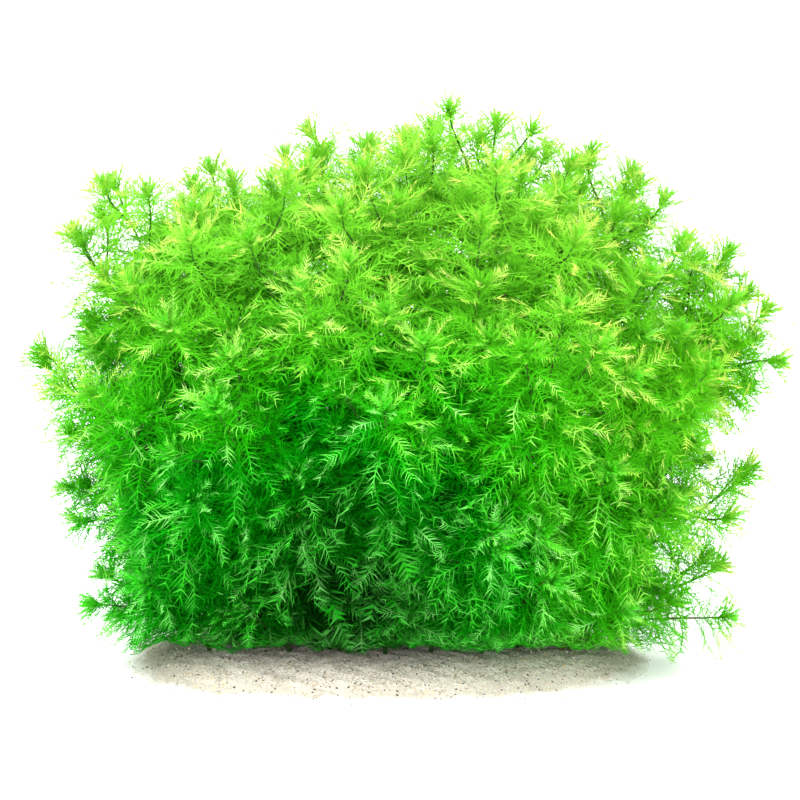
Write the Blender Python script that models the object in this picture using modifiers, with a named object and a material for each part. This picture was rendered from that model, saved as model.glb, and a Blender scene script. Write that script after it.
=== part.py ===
"""A bush of Myriophyllum mattogrossense, a feathery aquarium plant, rooted in a patch of loose sand.

Metres, +Z up. The origin is the middle of the sand's flat underside, and the bush is seen from -Y.
Every stem is a plant of its own. It stands in a planting hole in the sand, curves out to its tip, and
carries whorls of five leaves with a tuft of young leaves at the end. The tips lie in rings, one above
another, whose reach to the left and right follows the outline of the bush. A leaf ends before it
would meet a neighbour's.
"""

import math
import random
from dataclasses import dataclass

import bmesh
import bpy
from mathutils import Vector

COLLECTION_NAME = "myriophyllum_mattogrossense"
UP = Vector((0.0, 0.0, 1.0))

# The sand: a patch with rounded corners, highest in the middle, that thins out to a low rim.
SAND_HALF_LENGTH = 0.200
SAND_HALF_DEPTH = 0.130
SAND_SQUARENESS = 2.5
SAND_CREST = 0.022
SAND_RIM = 0.005
SAND_ROUNDING = 3.2
SAND_HUMP = 0.0012
SAND_HUMPS_PER_METRE = (31.0, 43.0)
SAND_STEPS = 24
SAND_RINGS = (0.45, 0.75, 0.9, 1.0)
SAND_FOOT_SHARE = 0.985

# The waves of the sand's edge: how many go round, how deep each is, and where it starts.
EDGE_WAVES = ((3, 0.018, 0.7), (5, 0.012, 2.1))
EDGE_INSET = 0.02

# The planting holes, and the clearance around and under each stem.
ROOT_DEPTH = 0.009
CLEARANCE = 0.0003

# A stem, with the part of it that is bare, and its thickness at the sand and at the tip.
STEM_RADIUS_LOW = 0.0020
STEM_RADIUS_HIGH = 0.0013
COLLAR_HEIGHT = 0.002
STEM_PULL = 0.36
PATH_SAMPLES = 48

# The whorls, from the lowest up: distance below the tip, leaf length, and rise above square to the stem.
LEAVES = 5
WHORLS = (
    (0.110, 0.054, 2.0),
    (0.081, 0.060, 8.0),
    (0.053, 0.060, 20.0),
    (0.026, 0.052, 38.0),
)
WHORLED_SHARE = 0.66
SHORT_STEM = 0.085
LONG_STEM = 0.19
WHORL_TURN = 0.62
WHORL_TOP = 0.003
WHORL_FOOT = 0.012
NOTCH_SHARE = 0.52
TUFT_RADIUS = 0.020
TUFT_RISE = 0.022
TUFT_HEART = 0.012

# How close a leaf comes to the halfway plane towards a neighbour's stem, and how low its tip hangs.
SHARE_OF_WAY = 0.94
LOWEST_LEAF = 0.0235
SHORTEST_LEAF = 0.006

# The oval in the sand that the stems stand in, and the evening-out of the rings' spacing.
ROOTS_HALF_LENGTH = 0.150
ROOTS_HALF_DEPTH = 0.055
EVEN_OUT = 0.08

# How far a tip strays from its ring: along it, out of it and up or down.
STRAY_ALONG = 0.012
STRAY_OUT = 0.008
STRAY_UP = 0.012
SEED = 23

# Greens of the leaves, from the shaded foot of the bush to its sunlit top, and the pale sand.
GREEN_LOW = (0.020, 0.250, 0.012)
GREEN_HIGH = (0.160, 0.560, 0.035)
LIGHT_FROM_HEIGHT = 0.75
LEAF_ROUGHNESS = 0.55
SAND_COLOUR = (0.74, 0.70, 0.61)
SAND_ROUGHNESS = 0.9


@dataclass(frozen=True)
class Ring:
    """One ring of shoots: how many, where the first stands and the tips reach, and how the stems lean."""

    name: str
    count: int
    first: float
    height: float
    left: float
    right: float
    depth: float
    root_share: float
    lean_low: float
    rise_high: float


RINGS = (
    Ring("skirt", 11, 0.25, 0.060, 0.215, 0.251, 0.104, 1.00, 40.0, 34.0),
    Ring("lower", 10, 0.0, 0.142, 0.228, 0.266, 0.156, 0.86, 30.0, 40.0),
    Ring("middle", 12, 0.0, 0.236, 0.255, 0.278, 0.190, 0.70, 26.0, 46.0),
    Ring("upper", 10, 0.0, 0.314, 0.226, 0.252, 0.160, 0.52, 18.0, 60.0),
    Ring("shoulder", 8, 0.0, 0.364, 0.200, 0.188, 0.100, 0.34, 12.0, 68.0),
)

# The tall shoots of the crown: root x and y, then tip x, y and z.
CROWN = (
    ((-0.020, 0.000), (-0.048, -0.012, 0.388)),
    ((0.004, 0.008), (0.034, 0.020, 0.404)),
    ((0.026, -0.004), (0.082, -0.006, 0.410)),
)
CROWN_LEAN = 4.0
CROWN_RISE = 84.0
BUSH_TOP = 0.410
BUSH_RIGHT = 0.278


@dataclass(frozen=True)
class Shoot:
    """One stem: its name, where it stands, where it ends, and its directions at both ends."""

    name: str
    root: Vector
    tip: Vector
    start: Vector
    end: Vector


def clear_scene():
    """Remove whatever the file holds at the start."""
    for item in list(bpy.data.objects):
        bpy.data.objects.remove(item, do_unlink=True)


def make_material(name, colour, roughness):
    """Return a plain material with the given linear colour and roughness."""
    material = bpy.data.materials.new(name)
    material.use_nodes = True
    shader = material.node_tree.nodes["Principled BSDF"]
    shader.inputs["Base Color"].default_value = (*colour, 1.0)
    shader.inputs["Roughness"].default_value = roughness
    shader.inputs["Metallic"].default_value = 0.0
    return material


def leaf_colour(tip):
    """Return the green of a shoot: yellower and lighter towards the top and the right of the bush."""
    height = tip.z / BUSH_TOP
    rightness = 0.5 + 0.5 * tip.x / BUSH_RIGHT
    light = min(1.0, LIGHT_FROM_HEIGHT * height + (1.0 - LIGHT_FROM_HEIGHT) * rightness)
    return tuple(low + (high - low) * light for low, high in zip(GREEN_LOW, GREEN_HIGH))


def edge_share(angle):
    """Return how far the sand's edge reaches at an angle, as a share of the plain oval.

    The outline is a squarish oval: the powers of its two shares add up to one. Waves run round it.
    """
    powers = abs(math.cos(angle)) ** SAND_SQUARENESS + abs(math.sin(angle)) ** SAND_SQUARENESS
    waves = sum(depth * math.sin(count * angle + start) for count, depth, start in EDGE_WAVES)
    return powers ** (-1.0 / SAND_SQUARENESS) * (1.0 - EDGE_INSET + waves)


def sand_height(x, y):
    """Return the height of the sand's top at a place: a rounded mound with low humps on it."""
    angle = math.atan2(y / SAND_HALF_DEPTH, x / SAND_HALF_LENGTH)
    share = math.hypot(x / SAND_HALF_LENGTH, y / SAND_HALF_DEPTH) / edge_share(angle)
    share = min(1.0, share)
    mound = SAND_RIM + (SAND_CREST - SAND_RIM) * (1.0 - share**SAND_ROUNDING)
    across, away = SAND_HUMPS_PER_METRE
    hump = SAND_HUMP * math.cos(across * x) * math.cos(away * y)
    return mound + hump * (1.0 - share)


def make_shoot(name, root_xy, tip, outward, lean_low, rise_high):
    """Return a shoot that leaves the sand leaning by lean_low and ends rising by rise_high, in degrees."""
    lean = math.radians(lean_low)
    rise = math.radians(rise_high)
    root = Vector((root_xy[0], root_xy[1], sand_height(*root_xy)))
    start = UP * math.cos(lean) + outward * math.sin(lean)
    end = UP * math.sin(rise) + outward * math.cos(rise)
    return Shoot(name, root, tip, start, end)


def ring_shoots(ring, rng):
    """Return the shoots of one ring, with their tips strayed a little from an even spacing."""
    shoots = []
    for number in range(ring.count):
        turn = 2.0 * math.pi * (number + ring.first) / ring.count
        angle = turn + EVEN_OUT * math.sin(2.0 * turn)
        across, away = math.cos(angle), math.sin(angle)
        outward = Vector((across, away, 0.0))
        along = Vector((-away, across, 0.0))
        reach = ring.right if across > 0.0 else ring.left
        tip = Vector((across * reach, away * ring.depth, ring.height))
        tip += along * rng.uniform(-STRAY_ALONG, STRAY_ALONG)
        tip += outward * rng.uniform(-STRAY_OUT, STRAY_OUT)
        tip += UP * rng.uniform(-STRAY_UP, STRAY_UP)
        root_xy = (
            across * ROOTS_HALF_LENGTH * ring.root_share,
            away * ROOTS_HALF_DEPTH * ring.root_share,
        )
        name = f"{ring.name}_shoot_{number + 1:02d}"
        shoots.append(make_shoot(name, root_xy, tip, outward, ring.lean_low, ring.rise_high))
    return shoots


def crown_shoots():
    """Return the tall shoots of the crown, each leaning the way its tip lies from its root."""
    shoots = []
    for number, (root_xy, tip) in enumerate(CROWN):
        outward = Vector((tip[0] - root_xy[0], tip[1] - root_xy[1], 0.0)).normalized()
        name = f"crown_shoot_{number + 1:02d}"
        shoots.append(make_shoot(name, root_xy, Vector(tip), outward, CROWN_LEAN, CROWN_RISE))
    return shoots


def lay_out_shoots():
    """Return every shoot of the bush, from the skirt up to the crown."""
    rng = random.Random(SEED)
    shoots = [shoot for ring in RINGS for shoot in ring_shoots(ring, rng)]
    return shoots + crown_shoots()


def stem_path(shoot):
    """Return points along a stem, from the sand to the tip, on one cubic curve."""
    pull = STEM_PULL * (shoot.tip - shoot.root).length
    first = shoot.root + UP * COLLAR_HEIGHT
    second = first + shoot.start * pull
    third = shoot.tip - shoot.end * pull
    points = []
    for step in range(PATH_SAMPLES + 1):
        t = step / PATH_SAMPLES
        s = 1.0 - t
        points.append(
            first * s**3 + second * (3.0 * s * s * t) + third * (3.0 * s * t * t) + shoot.tip * t**3
        )
    return points


def point_below_tip(path, distance):
    """Return the point and the direction of a path at a distance back from its tip."""
    left = distance
    for upper, lower in zip(path[::-1], path[-2::-1]):
        step = (upper - lower).length
        if left <= step:
            return upper.lerp(lower, left / step), (upper - lower).normalized()
        left -= step
    return path[0].copy(), (path[1] - path[0]).normalized()


def path_length(path):
    """Return the length of a path."""
    return sum((b - a).length for a, b in zip(path, path[1:]))


def reach_towards(centre, direction, wanted, others):
    """Return how long a leaf can be in a direction, so that it ends before its neighbours begin.

    Each point on a neighbour's stem has a plane halfway to it. The leaf stops short of the nearest
    of these planes, and above the sand's crest.
    """
    reach = wanted
    for other in others:
        gap = other - centre
        along = gap.dot(direction)
        if along > 0.0:
            reach = min(reach, SHARE_OF_WAY * gap.length_squared / (2.0 * along))
    if direction.z < 0.0:
        reach = min(reach, (centre.z - LOWEST_LEAF) / -direction.z)
    return max(SHORTEST_LEAF, reach)


def stem_section(centre, side, ahead, radius):
    """Return a small five-sided ring around a stem."""
    other_side = ahead.cross(side)
    points = []
    for leaf in range(LEAVES):
        angle = 2.0 * math.pi * leaf / LEAVES
        points.append(centre + (side * math.cos(angle) + other_side * math.sin(angle)) * radius)
    return points


def leaf_section(centre, side, ahead, length, rise, others):
    """Return a star of leaf tips, with a notch between each leaf and the next."""
    other_side = ahead.cross(side)
    points = []
    for corner in range(2 * LEAVES):
        angle = math.pi * corner / LEAVES
        flat = side * math.cos(angle) + other_side * math.sin(angle)
        direction = flat * math.cos(rise) + ahead * math.sin(rise)
        wanted = length if corner % 2 == 0 else length * NOTCH_SHARE
        points.append(centre + direction * reach_towards(centre, direction, wanted, others))
    return points


def stem_radius(share):
    """Return the radius of a stem at a share of its length from the sand."""
    return STEM_RADIUS_LOW + (STEM_RADIUS_HIGH - STEM_RADIUS_LOW) * share


def carry(side, old_ahead, new_ahead):
    """Return the side direction carried round a bend without a twist."""
    return (old_ahead.rotation_difference(new_ahead) @ side).normalized()


def whorls_on(length):
    """Return the whorls that a stem of some length carries: a short stem has fewer, set closer."""
    count = 2 if length < SHORT_STEM else 3 if length < LONG_STEM else 4
    whorls = WHORLS[-count:]
    closer = min(1.0, WHORLED_SHARE * length / whorls[0][0])
    return [(below * closer, leaf_length, rise) for below, leaf_length, rise in whorls]


def shoot_sections(shoot, path, others):
    """Return the loft's rings for a shoot, from the foot in the sand to the tuft."""
    length = path_length(path)
    side = Vector((1.0, 0.0, 0.0))
    ahead = UP.copy()
    foot = shoot.root - UP * ROOT_DEPTH
    sections = [
        stem_section(foot, side, ahead, STEM_RADIUS_LOW),
        stem_section(path[0], side, ahead, STEM_RADIUS_LOW),
    ]
    whorls = whorls_on(length)
    bends = [whorls[0][0] + WHORL_FOOT]
    if length > LONG_STEM:
        bends.insert(0, (length + whorls[0][0]) / 2.0)
    for below in bends:
        centre, new_ahead = point_below_tip(path, below)
        side = carry(side, ahead, new_ahead)
        ahead = new_ahead
        sections.append(stem_section(centre, side, ahead, stem_radius(1.0 - below / length)))
    for below, leaf_length, rise_degrees in whorls:
        centre, new_ahead = point_below_tip(path, below)
        side = carry(side, ahead, new_ahead)
        ahead = new_ahead
        side = (side * math.cos(WHORL_TURN) + ahead.cross(side) * math.sin(WHORL_TURN)).normalized()
        rise = math.radians(rise_degrees)
        radius = stem_radius(1.0 - below / length)
        sections.append(leaf_section(centre, side, ahead, leaf_length, rise, others))
        sections.append(stem_section(centre + ahead * WHORL_TOP, side, ahead, radius))
    side = carry(side, ahead, shoot.end)
    reach = math.hypot(TUFT_RADIUS, TUFT_RISE)
    rise = math.atan2(TUFT_RISE, TUFT_RADIUS)
    sections.append(leaf_section(shoot.tip, side, shoot.end, reach, rise, others))
    return sections


def join_sections(bm, lower, upper):
    """Add the faces between two rings of points, which have as many points or twice as many."""
    count_low, count_high = len(lower), len(upper)
    if count_low == count_high:
        for k in range(count_low):
            n = (k + 1) % count_low
            bm.faces.new((lower[k], lower[n], upper[n], upper[k]))
        return
    stem, star = (lower, upper) if count_low < count_high else (upper, lower)
    for k in range(len(stem)):
        n = (k + 1) % len(stem)
        leaf, notch, next_leaf = star[2 * k], star[2 * k + 1], star[(2 * k + 2) % len(star)]
        for face in ((stem[k], notch, leaf), (stem[k], stem[n], notch), (stem[n], next_leaf, notch)):
            bm.faces.new(face if stem is lower else face[::-1])


def add_object(name, mesh, material, collection):
    """Link a mesh to the collection as a named object with its material."""
    item = bpy.data.objects.new(name, mesh)
    item.data.materials.append(material)
    collection.objects.link(item)
    return item


def build_shoot(shoot, path, others, collection):
    """Loft one shoot through its rings: stem, stars of leaves and, at the end, the tuft."""
    sections = shoot_sections(shoot, path, others)
    bm = bmesh.new()
    rings = [[bm.verts.new(point) for point in section] for section in sections]
    bm.faces.new(rings[0][::-1])
    for lower, upper in zip(rings, rings[1:]):
        join_sections(bm, lower, upper)
    heart = bm.verts.new(shoot.tip + shoot.end * TUFT_HEART)
    last = rings[-1]
    for k in range(len(last)):
        bm.faces.new((last[k], last[(k + 1) % len(last)], heart))
    bmesh.ops.triangulate(bm, faces=bm.faces[:])
    mesh = bpy.data.meshes.new(shoot.name)
    bm.to_mesh(mesh)
    bm.free()
    material = make_material(f"{shoot.name}_green", leaf_colour(shoot.tip), LEAF_ROUGHNESS)
    return add_object(shoot.name, mesh, material, collection)


def sand_profile():
    """Return the turned outline of the sand, as shares of its radius and heights, from the top down."""
    outline = [(0.0, 1.0)]
    outline += [(share, 1.0) for share in SAND_RINGS]
    outline += [(SAND_FOOT_SHARE, 0.0), (0.0, 0.0)]
    return outline


def build_sand(collection, guides, shoots):
    """Turn the sand's outline, shape it into an oval mound, and cut a planting hole for each stem."""
    outline = sand_profile()
    mesh = bpy.data.meshes.new("sand_outline")
    mesh.from_pydata(
        [(share, 0.0, level) for share, level in outline],
        [(k, k + 1) for k in range(len(outline) - 1)],
        [],
    )
    turned = bpy.data.objects.new("sand_outline", mesh)
    guides.objects.link(turned)
    screw = turned.modifiers.new("turn", "SCREW")
    screw.steps = SAND_STEPS
    screw.render_steps = SAND_STEPS
    screw.use_merge_vertices = True
    screw.merge_threshold = 0.0001
    depsgraph = bpy.context.evaluated_depsgraph_get()
    shaped = bpy.data.meshes.new_from_object(turned.evaluated_get(depsgraph))
    bpy.data.objects.remove(turned)
    for vertex in shaped.vertices:
        angle = math.atan2(vertex.co.y, vertex.co.x)
        wide = edge_share(angle)
        x = vertex.co.x * SAND_HALF_LENGTH * wide
        y = vertex.co.y * SAND_HALF_DEPTH * wide
        on_top = vertex.co.z > 0.5
        vertex.co = (x, y, sand_height(x, y) if on_top else 0.0)
    shaped.name = "sand_bed"
    material = make_material("pale_sand", SAND_COLOUR, SAND_ROUGHNESS)
    sand = add_object("sand_bed", shaped, material, collection)
    cut = sand.modifiers.new("planting_holes", "BOOLEAN")
    cut.operation = "DIFFERENCE"
    cut.object = build_hole_cutter(guides, shoots)
    return sand


def build_hole_cutter(guides, shoots):
    """Return one hidden cutter with a five-sided peg for each stem, a little wider and deeper than it."""
    bm = bmesh.new()
    radius = (STEM_RADIUS_LOW + CLEARANCE) / math.cos(math.pi / LEAVES)
    depth = ROOT_DEPTH + CLEARANCE
    height = depth + 2.0 * COLLAR_HEIGHT
    for shoot in shoots:
        peg = bmesh.ops.create_cone(
            bm, cap_ends=True, segments=LEAVES, radius1=radius, radius2=radius, depth=height
        )
        middle = shoot.root - UP * (depth - height / 2.0)
        bmesh.ops.translate(bm, verts=peg["verts"], vec=middle)
    mesh = bpy.data.meshes.new("hole_pegs")
    bm.to_mesh(mesh)
    bm.free()
    cutter = bpy.data.objects.new("hole_pegs", mesh)
    cutter.hide_render = True
    cutter.display_type = "WIRE"
    guides.objects.link(cutter)
    return cutter


def neighbours_of(shoot, shoots, paths):
    """Return the points along every other stem, thinned out, with their whorls' centres among them."""
    points = []
    for other in shoots:
        if other is shoot:
            continue
        path = paths[other.name]
        points += path[::2]
        points += [point_below_tip(path, whorl[0])[0] for whorl in whorls_on(path_length(path))]
    return points


def main():
    """Build the bush."""
    clear_scene()
    collection = bpy.data.collections.new(COLLECTION_NAME)
    guides = bpy.data.collections.new("guides")
    bpy.context.scene.collection.children.link(collection)
    bpy.context.scene.collection.children.link(guides)
    shoots = lay_out_shoots()
    paths = {shoot.name: stem_path(shoot) for shoot in shoots}
    build_sand(collection, guides, shoots)
    for shoot in shoots:
        build_shoot(shoot, paths[shoot.name], neighbours_of(shoot, shoots, paths), collection)


main()
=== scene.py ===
"""The looks of a bush of Myriophyllum mattogrossense, a feathery aquarium plant, on its patch of sand.

Metres, +Z up, seen from -Y. Every main shoot of the frame gets one piece: its curving stem, the side
shoots that branch from it, whorls of pinnate leaves along each tip, and a tuft of young leaves at its
end. The sand gets a grained surface with loose grains on it. The layout of the main shoots repeats the
values of the solids, so each piece grows from the same place and ends at the same tip.
"""

import logging
import math
import random
from dataclasses import dataclass, field
from enum import Enum

import bpy
import numpy as np
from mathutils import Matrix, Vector

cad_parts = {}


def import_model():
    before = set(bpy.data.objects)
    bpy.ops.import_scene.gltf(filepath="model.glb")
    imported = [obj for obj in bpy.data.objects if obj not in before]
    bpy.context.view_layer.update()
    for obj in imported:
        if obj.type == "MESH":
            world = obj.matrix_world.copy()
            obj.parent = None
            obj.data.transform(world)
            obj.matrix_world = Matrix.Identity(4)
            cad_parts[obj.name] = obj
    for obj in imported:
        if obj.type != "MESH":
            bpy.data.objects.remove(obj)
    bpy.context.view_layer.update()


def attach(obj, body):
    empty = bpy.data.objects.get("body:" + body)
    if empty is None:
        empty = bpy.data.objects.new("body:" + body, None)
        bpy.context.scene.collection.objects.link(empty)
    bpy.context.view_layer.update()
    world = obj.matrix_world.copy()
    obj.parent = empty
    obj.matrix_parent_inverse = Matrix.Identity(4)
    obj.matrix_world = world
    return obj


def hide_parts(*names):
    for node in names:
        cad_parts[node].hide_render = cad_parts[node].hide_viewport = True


Array = np.ndarray
Values = np.ndarray | float
Pair = tuple[float, float]
Triple = tuple[float, float, float]
Rng = np.random.Generator
Material = bpy.types.Material
Group = bpy.types.ShaderNodeTree
Socket = bpy.types.NodeSocket

MILLIMETRE = 0.001
TINY = 1e-12
UP = np.array([0.0, 0.0, 1.0])
TURN = 2.0 * math.pi
GOLDEN_ANGLE = math.pi * (3.0 - math.sqrt(5.0))

# Directions that no stem follows, to cross with its own.
LEAF_HELPER = (0.23, -0.41, 0.11)
STEM_HELPER = (0.37, 0.93, 0.02)

log = logging.getLogger("bush")


class Slot(Enum):
    """The places in a foliage piece's list of materials."""

    LEAF = 0
    STEM = 1


class PinnaForm(Enum):
    """How a pinna is drawn: one straight triangle, or a slim strip of three that bends half way."""

    SLIVER = "sliver"
    BENT = "bent"


def unit(vectors: Array) -> Array:
    """Scale vectors to length one along their last axis: each divided by its own length."""
    return vectors / np.maximum(np.linalg.norm(vectors, axis=-1, keepdims=True), TINY)


def between(limits: Pair, share: Array) -> Array:
    """Return the first limit plus a share of the way to the second."""
    return limits[0] + (limits[1] - limits[0]) * share


def all_round(count: int) -> Array:
    """Return evenly spaced angles: a full turn times the order, over the count."""
    return TURN * np.arange(count) / count


def square_to(ahead: Array, helper: Triple) -> tuple[Array, Array]:
    """Return two directions square to each heading: its cross product with a helper, and with that."""
    side = unit(np.cross(ahead, np.array(helper)))
    return side, np.cross(ahead, side)


def cubic(first: Array, second: Array, third: Array, last: Array, steps: int) -> Array:
    """Sample a cubic curve: its four points weighted by the Bernstein terms of t from 0 to 1.

    Args:
        first: Where the curve starts.
        second: The handle that it starts towards.
        third: The handle that it arrives from.
        last: Where the curve ends.
        steps: How many stretches to cut it into.

    Returns:
        steps + 1 points along the curve.
    """
    t = np.linspace(0.0, 1.0, steps + 1)[:, None]
    s = 1.0 - t
    return first * s**3 + second * (3.0 * s * s * t) + third * (3.0 * s * t * t) + last * t**3


def along_path(path: Array, below: Array) -> tuple[Array, Array]:
    """Read a path at distances back from its end, by linear steps of its running length.

    Args:
        path: Points along the path, the end last.
        below: Distances back from the end.

    Returns:
        The points and the unit directions there.
    """
    steps = np.linalg.norm(np.diff(path, axis=0), axis=1)
    run = np.concatenate([[0.0], np.cumsum(steps)])
    place = np.clip(run[-1] - below, 0.0, run[-1])
    points = np.stack([np.interp(place, run, path[:, k]) for k in range(3)], axis=1)
    middle = (run[1:] + run[:-1]) / 2.0
    headings = unit(np.diff(path, axis=0))
    directions = np.stack([np.interp(place, middle, headings[:, k]) for k in range(3)], axis=1)
    return points, unit(directions)


def path_length(path: Array) -> float:
    """Return the length of a path."""
    return float(np.linalg.norm(np.diff(path, axis=0), axis=1).sum())


def ring_faces(rings: int, around: int) -> tuple[Array, Array]:
    """Join neighbouring rings of points: each stretch is cut along one diagonal into two triangles.

    Args:
        rings: How many rings there are.
        around: How many points each has.

    Returns:
        The triangles below the diagonals and those above them, (n, 3) each.
    """
    k = np.arange(around)
    n = (k + 1) % around
    base = (np.arange(rings - 1) * around)[:, None]
    lower = np.stack([base + k, base + n, base + n + around], axis=-1)
    upper = np.stack([base + k, base + n + around, base + k + around], axis=-1)
    return lower.reshape(-1, 3), upper.reshape(-1, 3)


def placed(name: str, data: bpy.types.ID) -> bpy.types.Object:
    """Link a new object to the scene.

    Args:
        name: Its name.
        data: Its mesh, lamp or camera.

    Returns:
        The object.
    """
    item = bpy.data.objects.new(name, data)
    bpy.context.scene.collection.objects.link(item)
    return item


@dataclass
class Soup:
    """Triangles gathered for one piece, with a material place and surface values for each point."""

    points: list[Array] = field(default_factory=list)
    faces: list[Array] = field(default_factory=list)
    places: list[Array] = field(default_factory=list)
    values: dict[str, list[Array]] = field(default_factory=dict)
    count: int = 0

    def add(self, points: Array, faces: Array, place: int, **values: Array) -> None:
        """Add a block of triangles.

        Args:
            points: The block's points, (..., 3).
            faces: Its triangles, (..., 3), counted from the block's own first point.
            place: The material's place for all of them.
            **values: One surface value for each point, by name.
        """
        points, faces = points.reshape(-1, 3), faces.reshape(-1, 3)
        self.points.append(points)
        self.faces.append(faces + self.count)
        self.places.append(np.full(len(faces), place, np.int32))
        for name, numbers in values.items():
            self.values.setdefault(name, []).append(np.broadcast_to(numbers, (len(points),)))
        self.count += len(points)

    def take_in(self, other: "Soup") -> None:
        """Add another gathering's triangles, whose faces then count from this one's last point.

        Args:
            other: The gathering to add.
        """
        self.points += other.points
        self.faces += [faces + self.count for faces in other.faces]
        self.places += other.places
        for key, numbers in other.values.items():
            self.values[key] += numbers
        self.count += other.count

    def build(self, name: str, materials: list[Material], smooth: Array | bool) -> bpy.types.Object:
        """Put the gathered triangles into one mesh object at the origin.

        Args:
            name: The piece's name.
            materials: Its materials, in the order of their places.
            smooth: Whether its faces are shaded smooth, for all of them or one by one.

        Returns:
            The new object, linked to the scene.
        """
        points = np.concatenate(self.points).astype(np.float32)
        faces = np.concatenate(self.faces).astype(np.int32)
        mesh = bpy.data.meshes.new(name)
        mesh.vertices.add(len(points))
        mesh.vertices.foreach_set("co", points.ravel())
        mesh.loops.add(3 * len(faces))
        mesh.loops.foreach_set("vertex_index", faces.ravel())
        mesh.polygons.add(len(faces))
        mesh.polygons.foreach_set("loop_start", np.arange(0, 3 * len(faces), 3, dtype=np.int32))
        for material in materials:
            mesh.materials.append(material)
        mesh.polygons.foreach_set("material_index", np.concatenate(self.places))
        mesh.polygons.foreach_set("use_smooth", np.array(np.broadcast_to(smooth, (len(faces),))))
        mesh.update(calc_edges=True)
        for key, numbers in self.values.items():
            attribute = mesh.attributes.new(key, "FLOAT", "POINT")
            attribute.data.foreach_set("value", np.concatenate(numbers).astype(np.float32))
        return placed(name, mesh)


@dataclass(frozen=True)
class Ring:
    """One ring of main shoots, as in the solids."""

    name: str
    count: int
    first: float
    height: float
    left: float
    right: float
    depth: float
    root_share: float
    lean_low: float
    rise_high: float


@dataclass(frozen=True)
class MainShoot:
    """One main shoot: its node in the frame, its root, and its stem's path and direction at the tip."""

    node: str
    root: Array
    path: Array
    end: Array

    @property
    def tip(self) -> Array:
        """Where the shoot ends."""
        return self.path[-1]


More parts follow.
